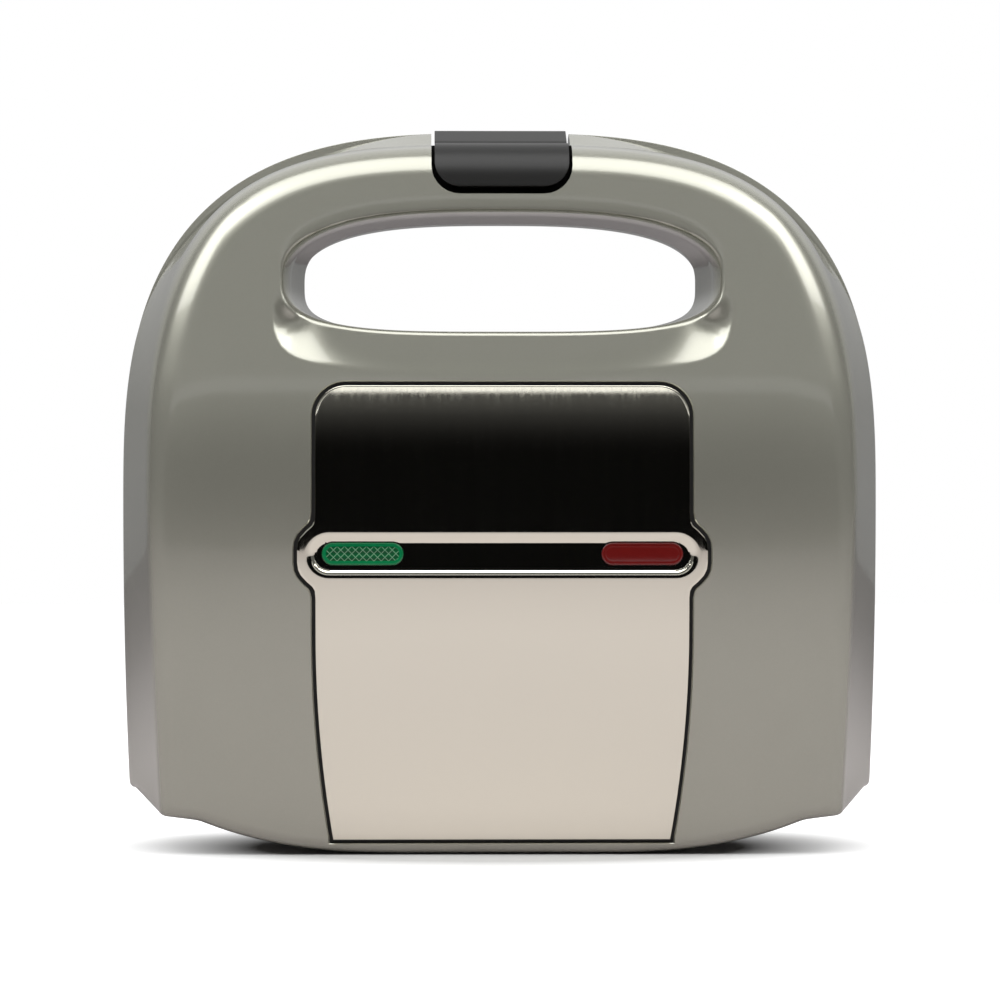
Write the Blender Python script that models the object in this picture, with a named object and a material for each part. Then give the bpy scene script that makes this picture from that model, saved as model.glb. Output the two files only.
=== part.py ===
"""Sandwich maker with a hinged lid, standing upright on its hinged end.

Frame: metres. +X to the right seen from the lid, +Z up towards the carrying handle, the lid faces -Y and the
feet face +Y. The origin is at the middle of the bounding box's bottom. The parting plane between lid and base
stands at y = PARTING_Y, and depths are measured from it: outwards to -Y on the lid, to +Y on the base.
"""

import bmesh
import bpy
import numpy as np
from mathutils import Matrix, Vector

MM = 0.001

# Outline of the casing, seen from the lid
BODY_HALF_WIDTH = 115.0 * MM
BODY_TOP_Z = 218.2 * MM
OUTLINE_CENTRE_Z = 105.5 * MM
ARCH_POWER = 2.9
SIDE_TAPER = 2.5 * MM
CORNER_Z = 20.3 * MM
HINGE_Z = 14.0 * MM
CREASE_INSET = 9.5 * MM
CREASE_HALF_WIDTH = BODY_HALF_WIDTH - CREASE_INSET
CREASE_TOP_DROP = 5.2 * MM
CREASE_POWER = 3.3
CREASE_TAPER = 3.0 * MM
CREASE_CORNER_Z = 11.3 * MM
BULGE_INSET = 15.1 * MM
BULGE_HALF_WIDTH = CREASE_HALF_WIDTH - BULGE_INSET
BULGE_CORNER_Z = 10.0 * MM
BULGE_POWER = 2.6
STANDING_HALF_WIDTH = 28.0 * MM
BASE_PAD_HALF_WIDTH = BODY_HALF_WIDTH - 33.0 * MM
BASE_CHAMFER_HALF_WIDTH = BODY_HALF_WIDTH - 14.0 * MM

# Depths of the two covers
LID_DEPTH = 46.0 * MM
LID_CREST_Z = 108.0 * MM
CROWN_BEND = 36.0 * MM
LID_RADIUS_BELOW = 378.0 * MM
LID_RADIUS_ABOVE = 300.0 * MM
SIDE_FALL = 5.0 * MM
SIDE_FALL_WIDTH = 24.0 * MM
BASE_DEPTH = 41.0 * MM
BASE_HANDLE_DEPTH = 21.0 * MM
BASE_STEP_LOW_Z = 142.0 * MM
BASE_STEP_HIGH_Z = 178.0 * MM
WALL = 3.0 * MM
PARTING_GAP = 0.3 * MM
FIT = 0.3 * MM
OVERRUN = 1.0 * MM

# Edge of the lid: drafted outer wall at the handle, facet along the sides, rounded shoulder inside both
EDGE_ANGLE_SHARES = (0.0, 30 / 180, 50 / 180, 75 / 180, 90 / 180, 125 / 180, 140 / 180, 1.0)
SHOULDER_LIP = 16.0 * MM
SHOULDER_LIP_SHARES = (1.0, 1.0, 0.75, 0.21, 0.17, 0.17, 0.24, 0.24)
SHOULDER_WIDTH = 14.0 * MM
SHOULDER_WIDTH_SHARES = (0.8, 0.85, 1.0, 0.6, 0.45, 0.45, 0.35, 0.35)
HANDLE_WALL_INSET = 4.9 * MM
HANDLE_WALL_INSET_SHARES = (1.0, 0.95, 0.75, 0.1, 0.1, 0.1, 0.1, 0.1)
HANDLE_WALL_DEPTH = 14.0 * MM
HANDLE_WALL_LIMIT_SHARE = 0.83
HANDLE_WALL_DEPTH_SHARES = (1.0, 0.9, 0.7, 0.25, 0.2, 0.2, 0.2, 0.2)
ARCH_STEP = 3.2 * MM
ARCH_STEP_START_SHARE = 8 / 180
ARCH_STEP_END_SHARE = 68 / 180

# Edge of the base
BASE_EDGE_INSET = 4.0 * MM
BASE_EDGE_LIP = 8.0 * MM
BASE_WALL_DEPTH = 8.0 * MM
BASE_FLOOR_DEPTH = 24.0 * MM

# Handle opening through both covers
HOLE_CENTRE_Z = 171.6 * MM
HOLE_HALF_WIDTH = 59.7 * MM
HOLE_RISE = 18.7 * MM
HOLE_FALL = 14.6 * MM
HOLE_POWER_ABOVE = 2.8
HOLE_POWER_BELOW = 3.6
HOLE_WALL = 2.5 * MM
LID_FLARE_RUN = 17.0 * MM
LID_FLARE_DEPTH = LID_DEPTH - LID_FLARE_RUN
LID_FLARE_BELOW = 13.0 * MM
LID_FLARE_ENDS = 4.5 * MM
LID_FLARE_ABOVE = 1.8 * MM
BASE_FLARE = 4.0 * MM

# Steel trim plate and its sunk band with the two lenses
PLATE_HALF_WIDTH = 55.3 * MM
PLATE_TOP_Z = 139.8 * MM
PLATE_BOTTOM_Z = 4.6 * MM
PLATE_BOTTOM_HALF_WIDTH = 50.3 * MM
PLATE_TAPER_Z = 66.0 * MM
PLATE_CORNER = 9.0 * MM
PLATE_EAR = 5.4 * MM
PLATE_THICKNESS = 0.8 * MM
PLATE_PROUD = 0.3 * MM
PLATE_GAP = 0.8 * MM
BAND_Z = 89.4 * MM
BAND_HALF_HEIGHT = 7.0 * MM
BAND_EAR_HALF_HEIGHT = 9.6 * MM
BAND_SLOPE = 2.4 * MM
BAND_SUNK = 1.2 * MM
LENS_X = 41.3 * MM
LENS_HALF_LENGTH = 12.1 * MM
LENS_RADIUS = 3.9 * MM
LENS_PROUD = 0.6 * MM
LENS_FLANGE = 1.5 * MM
LENS_FLANGE_THICKNESS = 1.2 * MM
LAMP_RADIUS = 2.6 * MM
LAMP_HALF_LENGTH = 8.0 * MM
LAMP_DEPTH = LID_DEPTH - 10.0 * MM
CARRIER_DEPTH = LAMP_DEPTH - 6.5 * MM
CARRIER_THICKNESS = 2.0 * MM
CARRIER_HALF_WIDTH = 56.0 * MM
CARRIER_HALF_HEIGHT = 6.0 * MM
CARRIER_POST_X = 18.0 * MM
CARRIER_POST_RADIUS = 3.0 * MM
CARRIER_PIN_RADIUS = 1.3 * MM

# Latch in the handle
LATCH_HALF_WIDTH = 20.0 * MM
LATCH_SIDE_GAP = 1.0 * MM
LATCH_LOW_Z = 200.4 * MM
LATCH_LOW_GAP = 2.2 * MM
LATCH_CORNER = 7.5 * MM
LATCH_PROUD = 0.6 * MM
LATCH_THICKNESS = 2.4 * MM
LATCH_REACH = 11.0 * MM
HOOK_DROP = 0.9 * MM
HOOK_THICKNESS = 3.0 * MM
CATCH_THICKNESS = 3.0 * MM
CATCH_WELL_LENGTH = 14.0 * MM
PIVOT_DEPTH = 12.0 * MM
PIVOT_Z = 207.5 * MM
PIVOT_RADIUS = 1.5 * MM
PIVOT_BOSS_RADIUS = 3.4 * MM
EAR_X = 11.0 * MM
EAR_THICKNESS = 2.4 * MM
LUG_GAP = 0.5 * MM
LUG_THICKNESS = 2.5 * MM
SPRING_RADIUS = 2.7 * MM
SPRING_WIRE_RADIUS = 0.35 * MM
SPRING_TURNS = 6
SPRING_STEPS = 8
SPRING_LENGTH = 8.4 * MM
SPRING_LEG = 4.6 * MM
CATCH_HALF_WIDTH = 17.0 * MM

# Hinge
KNUCKLE_RADIUS = 5.0 * MM
KNUCKLE_X = BODY_HALF_WIDTH - 45.0 * MM
KNUCKLE_LENGTH = 10.0 * MM
KNUCKLE_GAP = 0.5 * MM
HINGE_PIN_RADIUS = 2.0 * MM
HINGE_PIN_PLAY = 0.3 * MM
PIN_HEAD_RADIUS = 3.2 * MM
PIN_HEAD = 1.2 * MM
KNUCKLE_ARM_HEIGHT = 8.5 * MM
HINGE_NOTCH_GAP = 1.2 * MM

# Liners, cooking plates, heaters and trays
LINER = 2.2 * MM
COOK_HALF_WIDTH = BODY_HALF_WIDTH - 16.0 * MM
COOK_LOW_Z = 25.0 * MM
COOK_HIGH_Z = 141.0 * MM
COOK_CORNER = 10.0 * MM
COOK_THICKNESS = 3.0 * MM
COOK_RECESS = 0.4 * MM
FLANGE = 1.8 * MM
FLANGE_THICKNESS = 1.6 * MM
POCKET_DEPTH = 11.0 * MM
POCKET_MARGIN = 7.0 * MM
POCKET_RIB = 3.5 * MM
POCKET_SLOPE = 5.0 * MM
POCKET_WALL = 2.0 * MM
HEATER_RADIUS = 3.0 * MM
HEATER_X = 62.0 * MM
HEATER_HALF_HEIGHT = 24.0 * MM
HEATER_BEND = 14.0 * MM
HEATER_TAIL = 12.0 * MM
TRAY_THICKNESS = 0.8 * MM
TRAY_INSET = 1.0 * MM
TRAY_TAPER = 7.0 * MM
TRAY_CORNER = 7.0 * MM
TRAY_RISE = 3.0 * MM
THERMOSTAT_RADIUS = 8.0 * MM
THERMOSTAT_HEIGHT = 5.5 * MM
STRAP_HALF_LENGTH = 14.0 * MM
STRAP_HALF_WIDTH = 5.0 * MM
FUSE_RADIUS = 2.0 * MM
FUSE_HALF_LENGTH = 7.0 * MM
FUSE_X = -40.0 * MM
TERMINAL_HALF_LENGTH = 18.0 * MM
TERMINAL_WIDTH = 12.0 * MM
TERMINAL_HEIGHT = 10.0 * MM
TERMINAL_Z = 24.0 * MM
TERMINAL_WAYS = 3
TERMINAL_WELL_RADIUS = 2.6 * MM

# Fasteners, feet and cord inlet
SCREW_RADIUS = 1.5 * MM
SCREW_HEAD_RADIUS = 3.0 * MM
SCREW_HEAD = 2.0 * MM
LID_SCREW_LENGTH = 8.0 * MM
BASE_SCREW_LENGTH = 14.0 * MM
SCREW_SLOT = 0.9 * MM
SCREW_SLOT_DEPTH = 0.7 * MM
BOSS_RADIUS = 3.9 * MM
BASE_BOSS_RADIUS = 3.4 * MM
PAD_DEPTH = 5.0 * MM
SIDE_BOSS_DEPTH = 11.6 * MM
LID_SCREW_X = BODY_HALF_WIDTH - 9.5 * MM
LID_SCREW_Z = 62.0 * MM
BASE_SCREW_X = BODY_HALF_WIDTH - 10.2 * MM
BASE_SCREW_Z = 46.0 * MM
TOP_SCREW_X = BODY_HALF_WIDTH - 23.0 * MM
TOP_SCREW_Z = 160.0 * MM
SCREW_WELL_DEPTH = 22.0 * MM
WELL_WALL = 1.8 * MM
FOOT_RADIUS = 8.0 * MM
FOOT_HEIGHT = 4.0 * MM
FOOT_SEAT = 1.0 * MM
FOOT_BEVEL = 0.8 * MM
FOOT_X = BODY_HALF_WIDTH - 45.0 * MM
FOOT_LOW_Z = 26.0 * MM
FOOT_HIGH_Z = 128.0 * MM
CORD_RECESS_HALF_WIDTH = 24.0 * MM
CORD_RECESS_HEIGHT = 10.0 * MM
CORD_RECESS_DEPTH = 25.0 * MM
GLAND_RADIUS = 4.5 * MM
GLAND_BORE = 3.0 * MM
GLAND_FLANGE_RADIUS = 6.5 * MM
GLAND_FLANGE = 1.8 * MM
GLAND_LENGTH = 10.0 * MM
PAD_RECESS_HALF_WIDTH = 32.0 * MM
PAD_RECESS_HALF_HEIGHT = 18.0 * MM
PAD_RECESS_Z = 80.0 * MM
PAD_RECESS_DEPTH = 0.5 * MM

FRONT_REACH = LID_DEPTH + PLATE_PROUD
BACK_REACH = BASE_DEPTH - FOOT_SEAT + FOOT_HEIGHT
PARTING_Y = (FRONT_REACH - BACK_REACH) / 2

HALF_STEPS = 30
HOLE_STEPS = 44
LID, BASE = -1, 1

for old in list(bpy.data.objects):
    bpy.data.objects.remove(old, do_unlink=True)
PARTS = bpy.data.collections.new("sandwich_maker")
CUTTERS = bpy.data.collections.new("cutters")
bpy.context.scene.collection.children.link(PARTS)
bpy.context.scene.collection.children.link(CUTTERS)


def material(name, colour, roughness, metallic=0.0, alpha=1.0):
    """A plain Principled material."""
    made = bpy.data.materials.new(name)
    made.use_nodes = True
    shader = made.node_tree.nodes["Principled BSDF"]
    shader.inputs["Base Color"].default_value = (*colour, 1.0)
    shader.inputs["Roughness"].default_value = roughness
    shader.inputs["Metallic"].default_value = metallic
    shader.inputs["Alpha"].default_value = alpha
    return made


PAINT = material("champagne_grey_paint", (0.30, 0.29, 0.27), 0.35, 0.4)
STEEL = material("polished_steel", (0.75, 0.71, 0.66), 0.15, 1.0)
BLACK = material("black_plastic", (0.02, 0.02, 0.02), 0.5)
GREY = material("grey_plastic", (0.10, 0.10, 0.10), 0.5)
NON_STICK = material("black_non_stick", (0.03, 0.03, 0.03), 0.35, 0.2)
GREEN = material("green_lens", (0.0, 0.35, 0.15), 0.1, 0.0, 0.8)
RED = material("red_lens", (0.35, 0.0, 0.02), 0.15, 0.0, 0.8)
GLASS = material("lamp_glass", (0.9, 0.8, 0.7), 0.05, 0.0, 0.6)
RUBBER = material("black_rubber", (0.03, 0.03, 0.03), 0.8)
ZINC = material("zinc_steel", (0.6, 0.6, 0.6), 0.35, 1.0)
HEATER_STEEL = material("heater_steel", (0.25, 0.24, 0.23), 0.5, 1.0)
CERAMIC = material("ceramic", (0.8, 0.78, 0.72), 0.6)


def adopt(obj, mat=None):
    """Puts an object among the parts, with its material, or among the cutters."""
    for owner in list(obj.users_collection):
        owner.objects.unlink(obj)
    if mat is None:
        CUTTERS.objects.link(obj)
        obj.hide_render = True
        obj.display_type = "WIRE"
    else:
        PARTS.objects.link(obj)
        obj.data.materials.clear()
        obj.data.materials.append(mat)
    return obj


def solid(name, points, faces, mat=None, at=(0, 0, 0)):
    """An object from points and faces, with its faces turned outwards."""
    mesh = bpy.data.meshes.new(name)
    mesh.from_pydata([tuple(p) for p in points], [], faces)
    sheet = bmesh.new()
    sheet.from_mesh(mesh)
    bmesh.ops.recalc_face_normals(sheet, faces=sheet.faces)
    sheet.to_mesh(mesh)
    sheet.free()
    mesh.update()
    obj = bpy.data.objects.new(name, mesh)
    PARTS.objects.link(obj)
    obj.location = at
    return adopt(obj, mat)


def loft(name, rings, mat=None, first=None, last=None, at=(0, 0, 0), mirrored=False):
    """A closed body through rings of equal length, each end closed by a fan to a point or by one flat face.

    Mirrored splits each side face in two, alike on the left and the right.
    """
    count = len(rings[0])
    points = [p for ring in rings for p in ring]
    faces = []
    for k in range(len(rings) - 1):
        for i in range(count):
            j = (i + 1) % count
            a, b, c, d = k * count + i, k * count + j, (k + 1) * count + j, (k + 1) * count + i
            if not mirrored:
                faces.append((a, b, c, d))
            elif i < count // 2:
                faces += [(a, b, c), (a, c, d)]
            else:
                faces += [(a, b, d), (b, c, d)]
    for ring, tip in ((0, first), (len(rings) - 1, last)):
        start = ring * count
        if tip is None:
            faces.append(tuple(range(start, start + count)))
            continue
        points.append(tip)
        for i in range(count):
            faces.append((start + i, start + (i + 1) % count, len(points) - 1))
    return solid(name, points, faces, mat, at)


def box(name, low, high, mat=None):
    """A box between two corners."""
    bpy.ops.mesh.primitive_cube_add(size=1)
    obj = bpy.context.object
    obj.name = name
    low, high = Vector(low), Vector(high)
    obj.data.transform(Matrix.Diagonal((*(high - low), 1)))
    obj.location = (low + high) / 2
    return adopt(obj, mat)


TURN = {"X": Matrix.Rotation(np.pi / 2, 4, "Y"), "Y": Matrix.Rotation(-np.pi / 2, 4, "X"), "Z": Matrix()}


def cylinder(name, radius, low, high, axis, centre, mat=None, sides=24):
    """A cylinder along an axis, from low to high on that axis, with its middle line through centre."""
    bpy.ops.mesh.primitive_cylinder_add(vertices=sides, radius=radius, depth=high - low)
    obj = bpy.context.object
    obj.name = name
    obj.data.transform(TURN[axis])
    place = Vector(centre)
    place["XYZ".index(axis)] = (low + high) / 2
    obj.location = place
    return adopt(obj, mat)


def turned(name, profile, axis, place, mat, sides=24, down=False):
    """A turned piece: a closed profile of (radius, height) swept round an axis, heights along the axis."""
    points = []
    rings = []
    for radius, height in profile:
        angles = np.arange(sides) * 2 * np.pi / sides
        if radius <= 0:
            rings.append([len(points)] * sides)
            points.append((0.0, 0.0, height))
            continue
        rings.append(list(range(len(points), len(points) + sides)))
        points.extend((radius * np.cos(a), radius * np.sin(a), height) for a in angles)
    faces = []
    closed = profile[0][0] > 0 and profile[-1][0] > 0
    pairs = list(zip(rings, rings[1:])) + ([(rings[-1], rings[0])] if closed else [])
    for lower, upper in pairs:
        for i in range(sides):
            j = (i + 1) % sides
            face = []
            for index in (lower[i], lower[j], upper[j], upper[i]):
                if index not in face:
                    face.append(index)
            if len(face) > 2:
                faces.append(tuple(face))
    turn = TURN[axis] @ (Matrix.Rotation(np.pi, 4, "X") if down else Matrix())
    points = [turn @ Vector(p) for p in points]
    return solid(name, points, faces, mat, place)


def change(target, tool, operation):
    """Adds an exact Boolean of a cutter to a piece."""
    step = target.modifiers.new(tool.name, "BOOLEAN")
    step.operation = operation
    step.solver = "EXACT"
    step.object = tool
    return target


def cut(target, *tools):
    for tool in tools:
        change(target, tool, "DIFFERENCE")
    return target


def join(target, *tools):
    for tool in tools:
        change(target, tool, "UNION")
    return target


# Outlines, as radii at fixed angles about the outline's centre; angle 0 points up


def dense(points):
    """The open outline through the points, with a point about every half millimetre."""
    points = np.asarray(points, float)
    steps = [points[:1]]
    for a, b in zip(points, points[1:]):
        count = max(2, int(np.linalg.norm(b - a) / (MM / 2)))
        shares = np.linspace(0, 1, count)[1:, None]
        steps.append(a + (b - a) * shares)
    return np.concatenate(steps)


def arch(half_width, height, power, floor):
    """Points of the arch x/a to the power plus z/b to the power = 1, from its top down to the floor height."""
    lean = np.linspace(0, np.pi / 2, 60)
    x = half_width * np.sin(lean) ** (2 / power)
    z = OUTLINE_CENTRE_Z + height * np.cos(lean) ** (2 / power)
    keep = z >= floor
    return list(zip(x[keep], z[keep]))


def side(half_width, low_z):
    """Points down the side, drawn in by a parabola towards the bottom corner."""
    t = np.linspace(0, 1, 12)[1:]
    z = OUTLINE_CENTRE_Z + (low_z - OUTLINE_CENTRE_Z) * t
    return list(zip(half_width - SIDE_TAPER * t**2, z))


def bulge():
    """The lid's lower edge from its outer corner to the middle, flat where it stands."""
    t = np.linspace(1, 0, 20)
    x = STANDING_HALF_WIDTH + (BULGE_HALF_WIDTH - STANDING_HALF_WIDTH) * t
    return list(zip(x, BULGE_CORNER_Z * t**BULGE_POWER)) + [(0, 0)]


ARCH_HEIGHT = BODY_TOP_Z - OUTLINE_CENTRE_Z
PARTING_OUTLINE = arch(BODY_HALF_WIDTH, ARCH_HEIGHT, ARCH_POWER, OUTLINE_CENTRE_Z)
PARTING_OUTLINE = PARTING_OUTLINE + side(BODY_HALF_WIDTH, CORNER_Z)
PARTING_OUTLINE += [(0, HINGE_Z)]
CREASE_OUTLINE = arch(CREASE_HALF_WIDTH, ARCH_HEIGHT - CREASE_TOP_DROP, CREASE_POWER, OUTLINE_CENTRE_Z)
CREASE_OUTLINE += [(CREASE_HALF_WIDTH - CREASE_TAPER, CREASE_CORNER_Z)] + bulge()
BASE_OUTLINE = PARTING_OUTLINE[:-1] + [(BASE_CHAMFER_HALF_WIDTH, HINGE_Z / 2), (BASE_PAD_HALF_WIDTH, 0), (0, 0)]


def bearing(point):
    return np.arctan2(point[0], point[1] - OUTLINE_CENTRE_Z)


CORNERS = [PARTING_OUTLINE[-2], (CREASE_HALF_WIDTH - CREASE_TAPER, CREASE_CORNER_Z)]
CORNERS += [(BULGE_HALF_WIDTH, BULGE_CORNER_Z)]
CORNERS += [(STANDING_HALF_WIDTH, 0), (BASE_CHAMFER_HALF_WIDTH, HINGE_Z / 2), (BASE_PAD_HALF_WIDTH, 0)]
HALF_ANGLES = np.unique(np.concatenate([np.linspace(0, np.pi, HALF_STEPS + 1), [bearing(c) for c in CORNERS]]))
ANGLES = np.concatenate([HALF_ANGLES, 2 * np.pi - HALF_ANGLES[-2:0:-1]])
FOLDED = np.minimum(ANGLES, 2 * np.pi - ANGLES)
TURN_SHARE = FOLDED / np.pi


def radii(outline):
    """The outline's radius at each of the fixed angles."""
    points = dense(outline)
    angle = np.arctan2(points[:, 0], points[:, 1] - OUTLINE_CENTRE_Z)
    radius = np.hypot(points[:, 0], points[:, 1] - OUTLINE_CENTRE_Z)
    order = np.argsort(angle)
    return np.interp(FOLDED, angle[order], radius[order])


def graded(shares):
    """A table of shares over the turn share, eased between its entries."""
    return np.interp(TURN_SHARE, EDGE_ANGLE_SHARES, shares)


def flat(radius):
    """x and z of a ring given by its radii."""
    return radius * np.sin(ANGLES), OUTLINE_CENTRE_Z + radius * np.cos(ANGLES)


def ring(radius, depth, way):
    """A ring of points at a depth from the parting plane, on the lid's or the base's side."""
    x, z = flat(radius)
    y = PARTING_Y + way * (depth + np.zeros_like(x))
    return list(zip(x, y, z))


def lid_face(x, z):
    """Depth of the lid's front: parabolas up and down from the crest, the upper one running out straight towards
    the handle, and a fall to the sides."""
    rise = z - LID_CREST_Z
    straight = np.clip(rise - CROWN_BEND, 0, None)
    radius = np.where(rise > 0, LID_RADIUS_ABOVE, LID_RADIUS_BELOW)
    inward = np.clip((CREASE_HALF_WIDTH - np.abs(x)) / SIDE_FALL_WIDTH, 0, 1)
    crown = LID_DEPTH - (rise - straight)**2 / (2 * radius) - straight * CROWN_BEND / LID_RADIUS_ABOVE
    return crown - SIDE_FALL * (1 - np.sin(inward * np.pi / 2))


def base_face(x, z):
    """Depth of the base's back: flat, then a smooth step up to the thinner handle."""
    t = np.clip((z - BASE_STEP_LOW_Z) / (BASE_STEP_HIGH_Z - BASE_STEP_LOW_Z), 0, 1)
    return BASE_DEPTH - (BASE_DEPTH - BASE_HANDLE_DEPTH) * t * t * (3 - 2 * t) + 0 * x


RADIUS_PARTING = radii(PARTING_OUTLINE)
RADIUS_CREASE = radii(CREASE_OUTLINE)
RADIUS_BASE = radii(BASE_OUTLINE)
STEP_SPAN = (TURN_SHARE - ARCH_STEP_START_SHARE) / (ARCH_STEP_END_SHARE - ARCH_STEP_START_SHARE)
RADIUS_LID = RADIUS_PARTING - ARCH_STEP * np.sin(np.pi * np.clip(STEP_SPAN, 0, 1)) ** 2


def lid_rings(wall):
    """Rings of the lid's outer surface, or of the same surface a wall's thickness inside it."""
    inset = HANDLE_WALL_INSET * graded(HANDLE_WALL_INSET_SHARES)
    outer = np.minimum(RADIUS_PARTING - inset, RADIUS_LID) - wall
    lip = SHOULDER_LIP * graded(SHOULDER_LIP_SHARES)
    width = SHOULDER_WIDTH * graded(SHOULDER_WIDTH_SHARES)
    crease = lid_face(*flat(RADIUS_CREASE)) - lip
    low = np.minimum(HANDLE_WALL_DEPTH * graded(HANDLE_WALL_DEPTH_SHARES), crease * HANDLE_WALL_LIMIT_SHARE)
    rings = [ring(RADIUS_LID - wall, PARTING_GAP - (OVERRUN if wall else 0), LID)]
    rings.append(ring(outer, np.minimum(low, crease - wall), LID))
    rings.append(ring(RADIUS_CREASE - wall, crease - wall, LID))
    for share in (0.25, 0.6, 1.0):
        radius = RADIUS_CREASE - wall - width * share
        face = lid_face(*flat(radius)) - wall
        base = crease - wall
        rings.append(ring(radius, base + (face - base) * np.sin(share * np.pi / 2), LID))
    inner = RADIUS_CREASE - wall - width
    for share in (0.88, 0.74, 0.58, 0.4, 0.2):
        rings.append(ring(inner * share, lid_face(*flat(inner * share)) - wall, LID))
    return rings


def base_rings(wall):
    """Rings of the base's outer surface, or of the same surface a wall's thickness inside it."""
    lower = TURN_SHARE > bearing(PARTING_OUTLINE[-2]) / np.pi
    edge = np.where(lower, 0, BASE_EDGE_INSET)
    first = np.where(lower, BASE_FLOOR_DEPTH, BASE_WALL_DEPTH)
    last = RADIUS_BASE - edge
    crease = base_face(*flat(last)) - BASE_EDGE_LIP
    rings = [ring(RADIUS_PARTING - wall, PARTING_GAP - (OVERRUN if wall else 0), BASE)]
    rings.append(ring(RADIUS_BASE - wall - edge / 4, np.minimum(first, crease - wall), BASE))
    rings.append(ring(last - wall, crease - wall, BASE))
    for share in (0.4, 1.0):
        radius = last - wall - BASE_EDGE_LIP * (1 - np.cos(share * np.pi / 2))
        face = base_face(*flat(radius)) - wall
        rings.append(ring(radius, crease - wall + (face - crease + wall) * np.sin(share * np.pi / 2), BASE))
    inner = last - wall - BASE_EDGE_LIP
    for share in (0.8, 0.68, 0.56, 0.44, 0.3):
        rings.append(ring(inner * share, base_face(*flat(inner * share)) - wall, BASE))
    return rings


def centre_tip(face, wall, way):
    """The point that closes a cover's front, or its cavity's."""
    depth = float(face(np.array(0.0), np.array(OUTLINE_CENTRE_Z))) - wall
    return (0.0, PARTING_Y + way * depth, OUTLINE_CENTRE_Z)


def hole_outline(below, ends, above):
    """The handle opening's outline, grown by unlike amounts below, at its ends and above."""
    turn = np.arange(HOLE_STEPS) * 2 * np.pi / HOLE_STEPS
    up = np.cos(turn) >= 0
    power = np.where(up, HOLE_POWER_ABOVE, HOLE_POWER_BELOW)
    height = np.where(up, HOLE_RISE + above, HOLE_FALL + below)
    x = (HOLE_HALF_WIDTH + ends) * np.sign(np.sin(turn)) * np.abs(np.sin(turn)) ** (2 / power)
    z = HOLE_CENTRE_Z + height * np.sign(np.cos(turn)) * np.abs(np.cos(turn)) ** (2 / power)
    return x, z


def hole_cutter(name, way, start, grow, deep, flare, end):
    """A cutter through the handle opening: straight to a depth, then opening out by quarter circles."""
    rings = []
    stations = [(-OVERRUN, 0.0), (start, 0.0)]
    stations += [(start + deep * np.sin(a), 1 - np.cos(a)) for a in np.linspace(0, np.pi / 2, 5)[1:]]
    stations.append((end, 1.0))
    for depth, share in stations:
        x, z = hole_outline(*(grow + share * amount for amount in flare))
        rings.append([(px, PARTING_Y + way * depth, pz) for px, pz in zip(x, z)])
    return loft(name, rings)


LID_FLARE = (LID_FLARE_BELOW, LID_FLARE_ENDS, LID_FLARE_ABOVE)
LID_HOLE_END = LID_DEPTH + OVERRUN
BASE_HOLE_END = BASE_DEPTH + OVERRUN
BASE_FLARE_DEPTH = BASE_HANDLE_DEPTH - BASE_FLARE + FIT


def lid_at(x, z):
    """Depth of the lid's outer surface at a place on the face, its rounded edge included."""
    angle = abs(np.arctan2(x, z - OUTLINE_CENTRE_Z))
    radius = np.hypot(x, z - OUTLINE_CENTRE_Z)
    half = slice(0, len(HALF_ANGLES))
    crease = np.interp(angle, HALF_ANGLES, RADIUS_CREASE[half])
    width = SHOULDER_WIDTH * np.interp(angle / np.pi, EDGE_ANGLE_SHARES, SHOULDER_WIDTH_SHARES)
    lip = SHOULDER_LIP * np.interp(angle / np.pi, EDGE_ANGLE_SHARES, SHOULDER_LIP_SHARES)
    share = np.clip((crease - radius) / width, 0, 1)
    edge_x = x * crease / radius
    edge_z = OUTLINE_CENTRE_Z + (z - OUTLINE_CENTRE_Z) * crease / radius
    low = lid_face(edge_x, edge_z) - lip
    return float(low + (lid_face(x, z) - low) * np.sin(share * np.pi / 2))


def slab(name, outline, low, high, mat=None):
    """A flat piece: an outline of (x, z) between two heights along Y."""
    rings = [[(x, y, z) for x, z in outline] for y in (low, high)]
    return loft(name, rings, mat)


def rounded_rectangle(half_width, low_z, high_z, corner, steps=5):
    """Points of a rectangle with round corners, in x and z."""
    points = []
    quarters = ((1, high_z, 0), (1, low_z, 1), (-1, low_z, 2), (-1, high_z, 3))
    for sign, z, quarter in quarters:
        centre_x = sign * (half_width - corner)
        centre_z = z + (corner if quarter in (1, 2) else -corner)
        for share in np.linspace(0, 1, steps):
            angle = (quarter + share) * np.pi / 2
            points.append((centre_x + corner * np.sin(angle), centre_z + corner * np.cos(angle)))
    return points


def strip(name, rows, columns, outer, inner, mat=None):
    """A curved sheet in rows of (z, half width), its two surfaces given by depth functions of x and z."""
    points = []
    for depth in (outer, inner):
        for z, half in rows:
            for share in columns:
                points.append((half * share, PARTING_Y + LID * depth(half * share, z), z))
    wide, tall = len(columns), len(rows)
    sheet = wide * tall
    faces = []
    for j in range(tall - 1):
        for i in range(wide - 1):
            a = j * wide + i
            faces.append((a, a + 1, a + wide + 1, a + wide))
            faces.append(tuple(sheet + k for k in (a, a + wide, a + wide + 1, a + 1)))
    rim = [i for i in range(wide)]
    rim += [j * wide + wide - 1 for j in range(1, tall)]
    rim += [(tall - 1) * wide + i for i in range(wide - 2, -1, -1)]
    rim += [j * wide for j in range(tall - 2, 0, -1)]
    for a, b in zip(rim, rim[1:] + rim[:1]):
        faces.append((a, b, sheet + b, sheet + a))
    return solid(name, points, faces, mat)


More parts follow.
